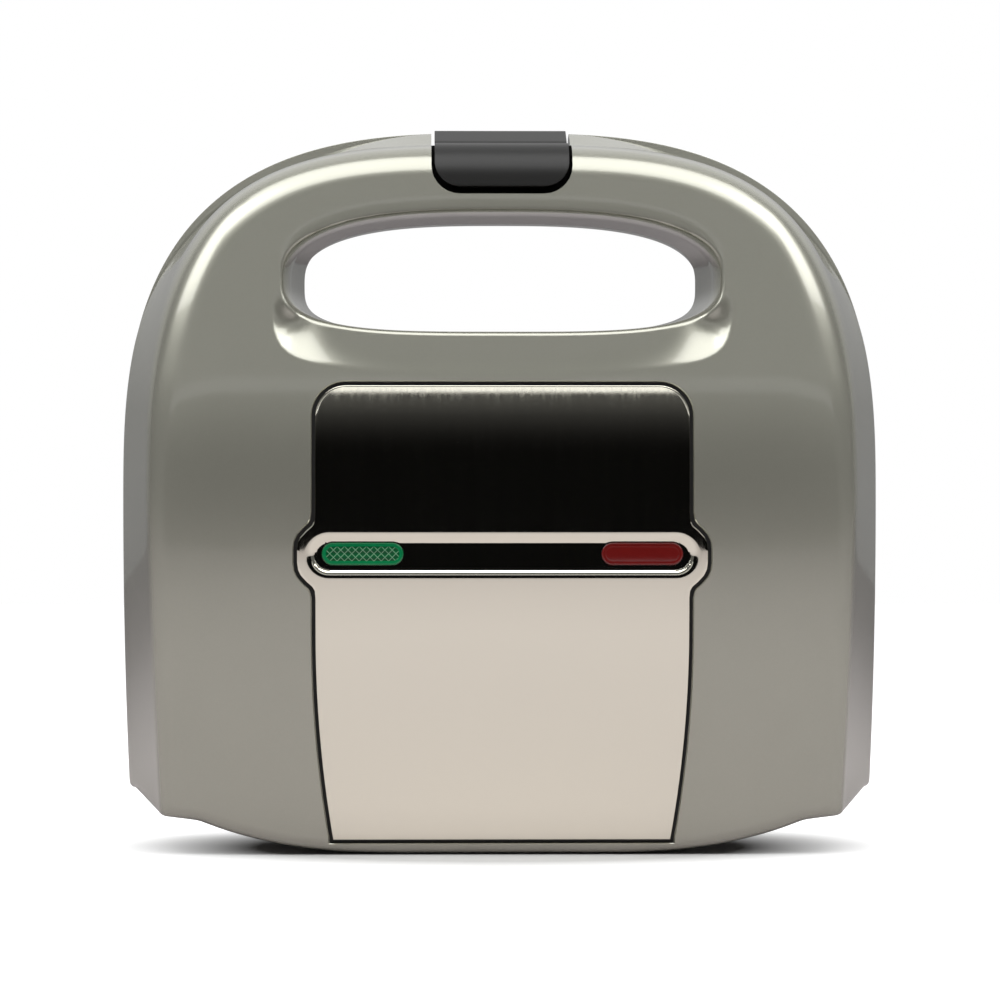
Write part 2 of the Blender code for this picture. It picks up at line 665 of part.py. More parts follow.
def plate_rows(grow):
    """Rows of the trim plate's outline from the top down: round corners, ears at the band, drawn-in foot."""
    rows = []
    corner = PLATE_CORNER + grow
    for share in (0, 0.25, 0.5, 0.75, 1):
        angle = share * np.pi / 2
        z = PLATE_TOP_Z + grow - corner * (1 - np.cos(angle))
        rows.append((z, PLATE_HALF_WIDTH + grow - corner * (1 - np.sin(angle))))
    ear = BAND_EAR_HALF_HEIGHT + grow / 2
    for share, reach in ((1.2, 0), (1, 0.08), (0.8, 0.5), (0.5, 0.9), (0.2, 1), (-0.2, 1), (-0.5, 0.9),
                         (-0.8, 0.5), (-1, 0.08), (-1.2, 0)):
        rows.append((BAND_Z + ear * share, PLATE_HALF_WIDTH + grow + PLATE_EAR * reach))
    low = PLATE_BOTTOM_Z - grow
    for share in (0, 0.3, 0.55, 0.75, 0.9, 1):
        z = PLATE_TAPER_Z + (low - PLATE_TAPER_Z) * share
        rows.append((z, PLATE_HALF_WIDTH + grow - (PLATE_HALF_WIDTH - PLATE_BOTTOM_HALF_WIDTH) * share**2))
    return rows


PLATE_COLUMN_SHARES = (-1, -0.8, -0.45, 0, 0.45, 0.8, 1)


def band_dip(x, z):
    """How far the plate's surface is sunk at the band, a stadium with sloping sides."""
    end = PLATE_HALF_WIDTH + PLATE_EAR - BAND_SLOPE - BAND_HALF_HEIGHT
    away = np.hypot(max(abs(x) - end, 0), z - BAND_Z)
    return BAND_SUNK * float(np.clip((BAND_HALF_HEIGHT - away) / BAND_SLOPE, 0, 1))


def slot_outline(centre_x, half_length, radius, steps=9):
    """A stadium about a lens's centre."""
    points = []
    for side_sign in (1, -1):
        for share in np.linspace(0, 1, steps):
            angle = (share + (0 if side_sign > 0 else 1)) * np.pi
            reach = side_sign * (half_length - radius)
            points.append((centre_x + reach + radius * np.sin(angle), BAND_Z + radius * np.cos(angle)))
    return points


def lens_slot(name, centre_x, grow, low, high, mat=None):
    outline = slot_outline(centre_x, LENS_HALF_LENGTH + grow, LENS_RADIUS + grow)
    return slab(name, outline, PARTING_Y - high, PARTING_Y - low, mat)


# Lid cover

lid_shell = loft("lid_shell", lid_rings(0), PAINT, last=centre_tip(lid_face, 0, LID), mirrored=True)
lid_cavity = loft("lid_cavity", lid_rings(WALL), last=centre_tip(lid_face, WALL, LID), mirrored=True)
lid_keeper = hole_cutter("lid_keeper", LID, LID_FLARE_DEPTH - WALL, HOLE_WALL, LID_FLARE_RUN, LID_FLARE,
                         LID_HOLE_END)
cut(lid_cavity, lid_keeper)
lid_hole = hole_cutter("lid_hole", LID, LID_FLARE_DEPTH, 0, LID_FLARE_RUN, LID_FLARE, LID_HOLE_END)
PLATE_SEAT = PLATE_THICKNESS - PLATE_PROUD + FIT
plate_seat = strip("plate_seat", plate_rows(PLATE_GAP), PLATE_COLUMN_SHARES,
                   lambda x, z: lid_at(x, z) + OVERRUN * 5,
                   lambda x, z: lid_at(x, z) - PLATE_SEAT - band_dip(x, z))
latch_well_rows = []
for share in (0, 0.2, 0.4, 0.6, 0.8, 1):
    lean = share * np.pi / 2
    corner = LATCH_CORNER + LATCH_SIDE_GAP
    z = LATCH_LOW_Z - LATCH_LOW_GAP + corner * (1 - np.cos(lean))
    latch_well_rows.append((z, LATCH_HALF_WIDTH + LATCH_SIDE_GAP - corner * (1 - np.sin(lean))))
latch_well_rows.append((BODY_TOP_Z + OVERRUN, LATCH_HALF_WIDTH + LATCH_SIDE_GAP))
latch_well = strip("latch_well", latch_well_rows, (-1, 0, 1), lambda x, z: LID_DEPTH, lambda x, z: -OVERRUN)
LENS_WINDOW_PLAY = FIT
lens_windows = []
for i, sign in enumerate((-1, 1)):
    lens_windows.append(lens_slot(f"lens_window_{i}", sign * LENS_X, LENS_WINDOW_PLAY, LID_DEPTH / 2,
                                  LID_DEPTH + OVERRUN))
hinge_notches = []
for i, sign in enumerate((-1, 1)):
    reach = KNUCKLE_LENGTH * 3 / 2 + KNUCKLE_GAP + PIN_HEAD + HINGE_NOTCH_GAP
    centre = sign * KNUCKLE_X
    hinge_notches.append(cylinder(f"hinge_notch_{i}", KNUCKLE_RADIUS + HINGE_NOTCH_GAP, centre - reach,
                                  centre + reach, "X", (0, PARTING_Y, HINGE_Z), sides=20))
LINER_OUT = PARTING_GAP + LINER
LID_KNUCKLES = (-KNUCKLE_X, KNUCKLE_X)
BASE_KNUCKLES = [s * KNUCKLE_X + step * (KNUCKLE_LENGTH + KNUCKLE_GAP) for s in (-1, 1) for step in (-1, 1)]


def knuckle_arm(name, way, x, grow):
    """The box of a knuckle's arm, or a slot around it."""
    near = PARTING_GAP - (OVERRUN if grow else 0)
    low, high = sorted(PARTING_Y + way * depth for depth in (near, LINER_OUT + LINER + grow))
    half = KNUCKLE_LENGTH / 2 + grow
    return box(name, (x - half, low, HINGE_Z), (x + half, high, HINGE_Z + KNUCKLE_ARM_HEIGHT + grow))


lid_slots = [knuckle_arm(f"lid_arm_slot_{i}", LID, x, FIT) for i, x in enumerate(LID_KNUCKLES)]
base_slots = [knuckle_arm(f"base_arm_slot_{i}", BASE, x, FIT) for i, x in enumerate(BASE_KNUCKLES)]
cut(lid_shell, lid_cavity, lid_hole, plate_seat, latch_well, *lens_windows, *hinge_notches, *lid_slots)

# Base cover

base_shell = loft("base_shell", base_rings(0), PAINT, last=centre_tip(base_face, 0, BASE), mirrored=True)
base_cavity = loft("base_cavity", base_rings(WALL), last=centre_tip(base_face, WALL, BASE), mirrored=True)
BASE_FLARES = (BASE_FLARE, BASE_FLARE, BASE_FLARE)
base_keeper = hole_cutter("base_keeper", BASE, BASE_FLARE_DEPTH - WALL, HOLE_WALL, BASE_FLARE, BASE_FLARES,
                          BASE_HOLE_END)
cut(base_cavity, base_keeper)
base_hole = hole_cutter("base_hole", BASE, BASE_FLARE_DEPTH, 0, BASE_FLARE, BASE_FLARES, BASE_HOLE_END)
well_half_width = LATCH_HALF_WIDTH + LATCH_SIDE_GAP
catch_well = box("catch_well", (-well_half_width, PARTING_Y - OVERRUN, PIVOT_Z + HOOK_THICKNESS),
                 (well_half_width, PARTING_Y + CATCH_WELL_LENGTH, BODY_TOP_Z + OVERRUN))
cut(base_shell, *hinge_notches, *base_slots, base_cavity, base_hole, catch_well)

# Liners that close the two covers at the parting plane


def rim_radii(rings, depth):
    """Radii of a cover's inside at a depth between its first two rings."""
    low, high = (np.array(r, dtype=float) for r in rings[:2])
    low_radius = np.hypot(low[:, 0], low[:, 2] - OUTLINE_CENTRE_Z)
    high_radius = np.hypot(high[:, 0], high[:, 2] - OUTLINE_CENTRE_Z)
    high_depth = np.abs(high[:, 1] - PARTING_Y)
    share = (depth + OVERRUN - PARTING_GAP) / (high_depth + OVERRUN - PARTING_GAP)
    return low_radius + (high_radius - low_radius) * np.clip(share, 0, 1)


def liner(name, way, rings, mat):
    """A flat ring inside a cover's rim, open at the cooking plate and at the handle."""
    inner = np.minimum(rim_radii(rings, PARTING_GAP), rim_radii(rings, LINER_OUT)) - FIT
    rings = [ring(inner, PARTING_GAP, way), ring(inner, LINER_OUT, way)]
    body = loft(name, rings, mat)
    grow = HOLE_WALL + FIT
    x, z = hole_outline(grow, grow, grow)
    reach = LINER_OUT + OVERRUN
    hole = slab(f"{name}_hole", list(zip(x, z)), PARTING_Y - reach, PARTING_Y + reach)
    outline = rounded_rectangle(COOK_HALF_WIDTH + FIT, COOK_LOW_Z - FIT, COOK_HIGH_Z + FIT, COOK_CORNER + FIT)
    opening = slab(f"{name}_opening", outline, PARTING_Y - reach, PARTING_Y + reach)
    return cut(body, hole, opening)


def knuckles(name, way, centres):
    """Hinge knuckles on arms that come down from a liner."""
    made = []
    for i, x in enumerate(centres):
        made.append(cylinder(f"{name}_barrel_{i}", KNUCKLE_RADIUS, x - KNUCKLE_LENGTH / 2,
                             x + KNUCKLE_LENGTH / 2, "X", (0, PARTING_Y, HINGE_Z)))
        made.append(knuckle_arm(f"{name}_arm_{i}", way, x, 0))
    return made


lid_frame = liner("lid_frame", LID, lid_rings(WALL), GREY)
base_frame = liner("base_frame", BASE, base_rings(WALL), GREY)
pin_bores = []
for i, sign in enumerate((-1, 1)):
    reach = KNUCKLE_LENGTH * 3 / 2 + KNUCKLE_GAP + OVERRUN
    pin_bores.append(cylinder(f"pin_bore_{i}", HINGE_PIN_RADIUS + HINGE_PIN_PLAY, sign * KNUCKLE_X - reach,
                              sign * KNUCKLE_X + reach, "X", (0, PARTING_Y, HINGE_Z)))
join(lid_frame, *knuckles("lid_knuckle", LID, LID_KNUCKLES))
join(base_frame, *knuckles("base_knuckle", BASE, BASE_KNUCKLES))
cut(lid_frame, *pin_bores)
cut(base_frame, *pin_bores)
for i, sign in enumerate((-1, 1)):
    half = KNUCKLE_LENGTH * 3 / 2 + KNUCKLE_GAP
    profile = [(0, -half - PIN_HEAD - FIT), (PIN_HEAD_RADIUS, -half - PIN_HEAD - FIT),
               (PIN_HEAD_RADIUS, -half - FIT),
               (HINGE_PIN_RADIUS, -half - FIT), (HINGE_PIN_RADIUS, half + FIT), (PIN_HEAD_RADIUS, half + FIT),
               (PIN_HEAD_RADIUS, half + FIT + PIN_HEAD), (0, half + FIT + PIN_HEAD)]
    turned(("hinge_pin_left", "hinge_pin_right")[i], profile, "X", (sign * KNUCKLE_X, PARTING_Y, HINGE_Z), ZINC)

# Trim plate, lenses, lamps and the carrier behind them

trim_plate = strip("trim_plate", plate_rows(0), PLATE_COLUMN_SHARES,
                   lambda x, z: lid_at(x, z) + PLATE_PROUD - band_dip(x, z),
                   lambda x, z: lid_at(x, z) + PLATE_PROUD - PLATE_THICKNESS - band_dip(x, z), STEEL)
cut(trim_plate, *lens_windows)
for i, sign in enumerate((-1, 1)):
    name = ("green_lens", "red_lens")[i]
    mat = (GREEN, RED)[i]
    floor = lid_at(LENS_X, BAND_Z) - BAND_SUNK
    inside = lid_at(LENS_X + LENS_HALF_LENGTH, BAND_Z) - WALL - 2 * FIT
    front = lens_slot(name, sign * LENS_X, 0, inside - LENS_FLANGE_THICKNESS / 2, floor + LENS_PROUD, mat)
    flange = lens_slot(f"{name}_flange", sign * LENS_X, LENS_FLANGE, inside - LENS_FLANGE_THICKNESS, inside)
    join(front, flange)

CRADLE_X = (LENS_X - LAMP_HALF_LENGTH / 2, LENS_X + LAMP_HALF_LENGTH / 2)
lamp_carrier = box("lamp_carrier", (-CARRIER_HALF_WIDTH, PARTING_Y - CARRIER_DEPTH - CARRIER_THICKNESS,
                                    BAND_Z - CARRIER_HALF_HEIGHT),
                   (CARRIER_HALF_WIDTH, PARTING_Y - CARRIER_DEPTH, BAND_Z + CARRIER_HALF_HEIGHT), BLACK)
lamp_bores = []
for i, sign in enumerate((-1, 1)):
    name = ("green_lamp", "red_lamp")[i]
    half = LAMP_HALF_LENGTH
    dome = LAMP_RADIUS / 2
    profile = [(0, -half), (dome, -half + dome / 2), (LAMP_RADIUS, -half + 2 * dome), (LAMP_RADIUS, half),
               (0, half)]
    turned(name, profile, "X", (sign * LENS_X, PARTING_Y - LAMP_DEPTH, BAND_Z), GLASS, sides=16)
    reach = half + OVERRUN
    lamp_bores.append(cylinder(f"lamp_bore_{i}", LAMP_RADIUS + FIT, sign * LENS_X - reach,
                               sign * LENS_X + reach, "X", (0, PARTING_Y - LAMP_DEPTH, BAND_Z), sides=16))
    foot = (sign * CARRIER_POST_X, 0, BAND_Z)
    start = PARTING_Y - lid_at(0.0, BAND_Z) + WALL
    carrier_front = CARRIER_DEPTH + CARRIER_THICKNESS
    join(lid_shell, cylinder(f"carrier_post_{i}", CARRIER_POST_RADIUS, start, PARTING_Y - carrier_front - FIT, "Y",
                             foot, sides=16),
         cylinder(f"carrier_pin_{i}", CARRIER_PIN_RADIUS, start, PARTING_Y - CARRIER_DEPTH + OVERRUN, "Y", foot,
                  sides=16))
    lamp_bores.append(cylinder(f"carrier_hole_{i}", CARRIER_PIN_RADIUS + FIT, PARTING_Y - carrier_front - OVERRUN,
                               PARTING_Y - CARRIER_DEPTH + OVERRUN, "Y", foot, sides=16))
    for k, x in enumerate(CRADLE_X):
        half_rib = CARRIER_THICKNESS / 2
        rib = box(f"lamp_cradle_{i}_{k}", (sign * x - half_rib, PARTING_Y - LAMP_DEPTH - LAMP_RADIUS - FIT * 2,
                                           BAND_Z - CARRIER_HALF_HEIGHT + OVERRUN),
                  (sign * x + half_rib, PARTING_Y - CARRIER_DEPTH - CARRIER_THICKNESS / 2,
                   BAND_Z + CARRIER_HALF_HEIGHT - OVERRUN))
        join(lamp_carrier, rib)
cut(lamp_carrier, *lamp_bores)

# Cooking plates: a flanged tray with four triangular pockets in each


def triangle_ring(corners, grow, depth, way):
    """A triangle moved out by a distance on all three sides, about its incentre, at a depth."""
    a, b, c = (np.asarray(p) for p in corners)
    sides = np.linalg.norm(b - c), np.linalg.norm(c - a), np.linalg.norm(a - b)
    centre = (sides[0] * a + sides[1] * b + sides[2] * c) / sum(sides)
    area = abs((b - a)[0] * (c - a)[1] - (b - a)[1] * (c - a)[0]) / 2
    scale = 1 + grow / (2 * area / sum(sides))
    return [(x, PARTING_Y + way * depth, z) for x, z in (centre + (p - centre) * scale for p in (a, b, c))]


def pocket_corners():
    """The corners of the four pockets: two square cells, each split along its diagonal by a rib."""
    low, high = COOK_LOW_Z + POCKET_MARGIN, COOK_HIGH_Z - POCKET_MARGIN
    inner, outer = POCKET_RIB / 2, COOK_HALF_WIDTH - POCKET_MARGIN
    skew = POCKET_RIB * (1 + (outer - inner) / (high - low))
    for sign in (-1, 1):
        yield [(sign * inner, low), (sign * (outer - skew), low), (sign * inner, high - skew)]
        yield [(sign * outer, high), (sign * (inner + skew), high), (sign * outer, low + skew)]


def cooking_plate(name, way):
    """A cast plate whose flange sits behind the liner and whose face comes through its opening."""
    face = (COOK_RECESS, COOK_RECESS + COOK_THICKNESS)
    flange = (LINER_OUT + FIT, LINER_OUT + FIT + FLANGE_THICKNESS)
    outline = rounded_rectangle(COOK_HALF_WIDTH, COOK_LOW_Z, COOK_HIGH_Z, COOK_CORNER)
    wide = rounded_rectangle(COOK_HALF_WIDTH + FLANGE, COOK_LOW_Z - FLANGE, COOK_HIGH_Z + FLANGE, COOK_CORNER)
    body = slab(name, outline, *sorted(PARTING_Y + way * d for d in face), NON_STICK)
    join(body, slab(f"{name}_flange", wide, *sorted(PARTING_Y + way * d for d in flange)))
    floor = COOK_RECESS + POCKET_DEPTH
    tools = []
    for i, corners in enumerate(pocket_corners()):
        bump = [triangle_ring(corners, POCKET_WALL, face[1] - OVERRUN, way),
                triangle_ring(corners, POCKET_WALL - POCKET_SLOPE, floor + POCKET_WALL, way)]
        join(body, loft(f"{name}_bump_{i}", bump))
        slope = POCKET_SLOPE / POCKET_DEPTH
        hollow = [triangle_ring(corners, slope * OVERRUN, COOK_RECESS - OVERRUN, way),
                  triangle_ring(corners, -POCKET_SLOPE, floor, way)]
        tools.append(loft(f"{name}_hollow_{i}", hollow))
    return cut(body, *tools)


upper_plate = cooking_plate("upper_plate", LID)
lower_plate = cooking_plate("lower_plate", BASE)
COOK_BACK = COOK_RECESS + POCKET_DEPTH + POCKET_WALL
COOK_CENTRE_Z = (COOK_LOW_Z + COOK_HIGH_Z) / 2


def tube(name, points, radius, mat, resolution=2):
    """A round bar along points."""
    data = bpy.data.curves.new(name, "CURVE")
    data.dimensions = "3D"
    data.bevel_depth = radius
    data.bevel_resolution = resolution
    data.use_fill_caps = True
    line = data.splines.new("POLY")
    line.points.add(len(points) - 1)
    for place, point in zip(line.points, points):
        place.co = (*point, 1)
    made = bpy.data.objects.new(name, data)
    PARTS.objects.link(made)
    return adopt(made, mat)


def heater(name, way):
    """A tubular heater bent into a hairpin behind its plate."""
    depth = COOK_BACK + FIT + HEATER_RADIUS
    y = PARTING_Y + way * depth
    points = [(-HEATER_X - HEATER_TAIL, y, COOK_CENTRE_Z - HEATER_HALF_HEIGHT)]
    points.append((HEATER_X, y, COOK_CENTRE_Z - HEATER_HALF_HEIGHT))
    for low, start in ((-1, np.pi), (1, np.pi / 2)):
        centre_z = COOK_CENTRE_Z + low * (HEATER_HALF_HEIGHT - HEATER_BEND)
        for share in np.linspace(0, 1, 7)[1 if low < 0 else 0:]:
            turn = start - share * np.pi / 2
            points.append((HEATER_X + HEATER_BEND * np.sin(turn), y, centre_z + HEATER_BEND * np.cos(turn)))
    points.append((-HEATER_X - HEATER_TAIL, y, COOK_CENTRE_Z + HEATER_HALF_HEIGHT))
    return tube(name, points, HEATER_RADIUS, HEATER_STEEL)


heater("upper_heater", LID)
heater("lower_heater", BASE)
TRAY_BACK = COOK_BACK + FIT + 2 * HEATER_RADIUS + TRAY_RISE


def reflector(name, way):
    """A tapered steel tray over the back of a plate and its heater."""
    front = LINER_OUT + 2 * FIT + FLANGE_THICKNESS
    shapes = []
    for grow, mat, start, end in ((0, ZINC, front, TRAY_BACK + TRAY_THICKNESS),
                                  (TRAY_THICKNESS, None, front - OVERRUN, TRAY_BACK)):
        rings = []
        for draw, depth in ((0, start), (TRAY_TAPER, end)):
            inset = TRAY_INSET + draw + grow
            outline = rounded_rectangle(COOK_HALF_WIDTH - inset, COOK_LOW_Z + inset, COOK_HIGH_Z - inset,
                                        TRAY_CORNER, steps=4)
            rings.append([(x, PARTING_Y + way * depth, z) for x, z in outline])
        shapes.append(loft(name if mat else f"{name}_inside", rings, mat))
    return cut(*shapes)


reflector("upper_reflector", LID)
reflector("lower_reflector", BASE)

# Thermostat on the upper plate, fuse and terminals in the base

low = COOK_BACK + FIT
profile = [(0, 0), (THERMOSTAT_RADIUS, 0), (THERMOSTAT_RADIUS, THERMOSTAT_HEIGHT),
           (THERMOSTAT_RADIUS * 0.6, THERMOSTAT_HEIGHT), (THERMOSTAT_RADIUS * 0.6, THERMOSTAT_HEIGHT + FIT),
           (0, THERMOSTAT_HEIGHT + FIT)]
turned("thermostat", profile, "Y", (0, PARTING_Y - low, COOK_CENTRE_Z), CERAMIC, down=True)
strap_low = low + THERMOSTAT_HEIGHT + 2 * FIT
strap_front = PARTING_Y - strap_low - TRAY_THICKNESS
thermostat_bracket = box("thermostat_bracket",
                         (-STRAP_HALF_LENGTH, strap_front, COOK_CENTRE_Z - STRAP_HALF_WIDTH),
                         (STRAP_HALF_LENGTH, PARTING_Y - strap_low, COOK_CENTRE_Z + STRAP_HALF_WIDTH), ZINC)
for i, sign in enumerate((-1, 1)):
    x = sign * (STRAP_HALF_LENGTH - TRAY_THICKNESS / 2)
    leg = box(f"strap_leg_{i}", (x - TRAY_THICKNESS / 2, PARTING_Y - strap_low - TRAY_THICKNESS / 2,
                                 COOK_CENTRE_Z - STRAP_HALF_WIDTH),
              (x + TRAY_THICKNESS / 2, PARTING_Y - low, COOK_CENTRE_Z + STRAP_HALF_WIDTH))
    join(thermostat_bracket, leg)
fuse_y = PARTING_Y + TRAY_BACK + TRAY_THICKNESS + FIT + FUSE_RADIUS
profile = [(0, -FUSE_HALF_LENGTH), (FUSE_RADIUS, -FUSE_HALF_LENGTH), (FUSE_RADIUS, FUSE_HALF_LENGTH),
           (0, FUSE_HALF_LENGTH)]
turned("thermal_fuse", profile, "X", (FUSE_X, fuse_y, COOK_CENTRE_Z), CERAMIC, sides=16)
block_back = PARTING_Y + BASE_DEPTH - WALL - FIT
terminal_block = box("terminal_block", (-TERMINAL_HALF_LENGTH, block_back - TERMINAL_HEIGHT, TERMINAL_Z),
                     (TERMINAL_HALF_LENGTH, block_back, TERMINAL_Z + TERMINAL_WIDTH), CERAMIC)
for k in range(TERMINAL_WAYS):
    x = TERMINAL_HALF_LENGTH * (2 * (k + 0.5) / TERMINAL_WAYS - 1)
    well = cylinder(f"terminal_well_{k}", TERMINAL_WELL_RADIUS, block_back - TERMINAL_HEIGHT - OVERRUN,
                    block_back - TERMINAL_HEIGHT / 2, "Y", (x, 0, TERMINAL_Z + TERMINAL_WIDTH / 2), sides=16)
    cut(terminal_block, well)

# Cord inlet: a recess in the base's hinged end, with a bushing in its ceiling

RECESS_SIZE = (CORD_RECESS_HALF_WIDTH, CORD_RECESS_HEIGHT, CORD_RECESS_DEPTH)
back = PARTING_Y + BASE_DEPTH + OVERRUN
cord_recess = box("cord_recess", (-RECESS_SIZE[0], PARTING_Y + RECESS_SIZE[2], -OVERRUN),
                  (RECESS_SIZE[0], back, RECESS_SIZE[1]))
cord_keeper = box("cord_keeper", (-RECESS_SIZE[0] - WALL, PARTING_Y + RECESS_SIZE[2] - WALL, -OVERRUN),
                  (RECESS_SIZE[0] + WALL, back, RECESS_SIZE[1] + WALL))
gland_y = PARTING_Y + (CORD_RECESS_DEPTH + BASE_DEPTH) / 2
gland_hole = cylinder("gland_hole", GLAND_RADIUS + FIT, CORD_RECESS_HEIGHT - OVERRUN,
                      CORD_RECESS_HEIGHT + WALL + OVERRUN, "Z", (0, gland_y, 0))
profile = [(GLAND_BORE, -GLAND_FLANGE), (GLAND_FLANGE_RADIUS, -GLAND_FLANGE), (GLAND_FLANGE_RADIUS, -FIT),
           (GLAND_RADIUS, -FIT), (GLAND_RADIUS, GLAND_LENGTH), (GLAND_BORE, GLAND_LENGTH)]
turned("cord_gland", profile, "Z", (0, gland_y, CORD_RECESS_HEIGHT), RUBBER)
cut(base_cavity, cord_keeper)

# Screws: every head faces +Y; those of the lid enter from the cooking side, those of the base from its back


def screw(name, x, z, seat, length):
    """A slotted pan-head screw along Y: the underside of its head is at a y, and its shank points to -Y."""
    profile = [(0, -length), (SCREW_RADIUS, -length), (SCREW_RADIUS, 0), (SCREW_HEAD_RADIUS, 0),
               (SCREW_HEAD_RADIUS, SCREW_HEAD * 0.7), (SCREW_HEAD_RADIUS * 0.8, SCREW_HEAD), (0, SCREW_HEAD)]
    made = turned(name, profile, "Y", (x, seat, z), ZINC, sides=16)
    top = seat + SCREW_HEAD
    slot = box(f"{name}_slot", (x - SCREW_HEAD_RADIUS - OVERRUN, top - SCREW_SLOT_DEPTH, z - SCREW_SLOT / 2),
               (x + SCREW_HEAD_RADIUS + OVERRUN, top + SCREW_SLOT_DEPTH, z + SCREW_SLOT / 2))
    return cut(made, slot)


def post(name, radius, near, far, x, z, sides=24):
    """A cylinder along Y between two places, in any order."""
    low, high = sorted((near, far))
    return cylinder(name, radius, low, high, "Y", (x, 0, z), sides=sides)


CORNER_NAMES = ("left_low", "left_high", "right_low", "right_high")
TOP_SCREW = (TOP_SCREW_X, TOP_SCREW_Z)
LID_SCREWS = [(s * x, z) for s in (-1, 1) for x, z in ((LID_SCREW_X, LID_SCREW_Z), TOP_SCREW)]
BASE_SCREWS = [(s * x, z) for s in (-1, 1) for x, z in ((BASE_SCREW_X, BASE_SCREW_Z), TOP_SCREW)]
LID_HEAD_SEAT = PARTING_GAP + SCREW_HEAD
SHANK_HOLE = SCREW_RADIUS + FIT
for name, (x, z) in zip(CORNER_NAMES, LID_SCREWS):
    out = 1 + BOSS_RADIUS / np.hypot(x, z - OUTLINE_CENTRE_Z)
    boss_end = SIDE_BOSS_DEPTH
    if abs(x) <= TOP_SCREW_X:
        boss_end = lid_at(x * out, OUTLINE_CENTRE_Z + (z - OUTLINE_CENTRE_Z) * out) - WALL / 2
    pad_front = PARTING_Y - PAD_DEPTH
    join(lid_frame, post(f"liner_pad_{name}", BOSS_RADIUS, pad_front, PARTING_Y - LINER_OUT / 2, x, z))
    cut(lid_frame,
        post(f"head_sink_{name}", SCREW_HEAD_RADIUS + FIT, PARTING_Y - LID_HEAD_SEAT - FIT, PARTING_Y, x, z),
        post(f"lid_shank_{name}", SHANK_HOLE, pad_front - OVERRUN, PARTING_Y, x, z, 16))
    join(lid_shell, post(f"lid_boss_{name}", BOSS_RADIUS, PARTING_Y - boss_end, pad_front - FIT, x, z))
    cut(lid_shell, post(f"lid_bore_{name}", SHANK_HOLE, PARTING_Y - SIDE_BOSS_DEPTH + FIT, PARTING_Y, x, z, 16))
    screw(f"lid_screw_{name}", x, z, PARTING_Y - LID_HEAD_SEAT, LID_SCREW_LENGTH)
base_tools = []
for name, (x, z) in zip(CORNER_NAMES, BASE_SCREWS):
    back = PARTING_Y + BASE_DEPTH + OVERRUN
    floor = PARTING_Y + SCREW_WELL_DEPTH
    cut(base_cavity, post(f"well_keeper_{name}", SCREW_HEAD_RADIUS + FIT + WELL_WALL, floor - WALL, back, x, z))
    base_tools.append(post(f"screw_well_{name}", SCREW_HEAD_RADIUS + FIT, floor, back, x, z))
    base_tools.append(post(f"base_shank_{name}", SHANK_HOLE, floor - WALL - OVERRUN, floor + OVERRUN, x, z, 16))
    join(base_frame,
         post(f"base_boss_{name}", BASE_BOSS_RADIUS, PARTING_Y + LINER_OUT / 2, floor - WALL - FIT, x, z))
    cut(base_frame, post(f"base_bore_{name}", SHANK_HOLE, floor - BASE_SCREW_LENGTH - OVERRUN, floor, x, z, 16))
    screw(f"base_screw_{name}", x, z, floor + FIT, BASE_SCREW_LENGTH)

# Rubber feet in shallow seats, and the bare recess for a rating plate

foot_seat_y = PARTING_Y + BASE_DEPTH - FOOT_SEAT
for name, (x, z) in zip(CORNER_NAMES, [(s * FOOT_X, z) for s in (-1, 1) for z in (FOOT_LOW_Z, FOOT_HIGH_Z)]):
    base_tools.append(post(f"foot_seat_{name}", FOOT_RADIUS + FIT, foot_seat_y, back, x, z))
    profile = [(0, FIT), (FOOT_RADIUS, FIT), (FOOT_RADIUS, FOOT_HEIGHT - FOOT_BEVEL),
               (FOOT_RADIUS - FOOT_BEVEL, FOOT_HEIGHT), (0, FOOT_HEIGHT)]
    turned(f"foot_{name}", profile, "Y", (x, foot_seat_y, z), RUBBER)
rating_recess = box("rating_recess", (-PAD_RECESS_HALF_WIDTH, PARTING_Y + BASE_DEPTH - PAD_RECESS_DEPTH,
                                      PAD_RECESS_Z - PAD_RECESS_HALF_HEIGHT),
                    (PAD_RECESS_HALF_WIDTH, back, PAD_RECESS_Z + PAD_RECESS_HALF_HEIGHT))
cut(base_shell, cord_recess, gland_hole, rating_recess, *base_tools)

# Latch: a tongue over the handle's edge with an apron and a hook, rocking on a pin between two lugs


def handle_line():
    """The lid's section at the middle of the handle, as (depth, z) from the parting plane down."""
    crease_z = OUTLINE_CENTRE_Z + RADIUS_CREASE[0]
    crease = float(lid_face(np.array(0.0), np.array(crease_z))) - SHOULDER_LIP
    wall_depth = min(HANDLE_WALL_DEPTH, crease * HANDLE_WALL_LIMIT_SHARE)
    line = [(0, BODY_TOP_Z), (wall_depth, BODY_TOP_Z - HANDLE_WALL_INSET), (crease, crease_z)]
    for share in (0.15, 0.35, 0.6, 0.8, 1):
        z = crease_z - (crease_z - LATCH_LOW_Z + OVERRUN) * share
        line.append((lid_at(0.0, z), z))
    return np.array(line)


def offset_line(line, distance):
    """The line moved sideways by a distance, outwards where it is positive."""
    step = np.gradient(line, axis=0)
    step /= np.linalg.norm(step, axis=1)[:, None]
    return line + distance * np.stack([-step[:, 1], step[:, 0]], axis=1)


def bar(name, section, low_x, high_x, mat=None):
    """A closed section of (depth, z) on the lid's side, carried along X."""
    rings = [[(x, PARTING_Y + LID * depth, z) for depth, z in section] for x in (low_x, high_x)]
    return loft(name, rings, mat)


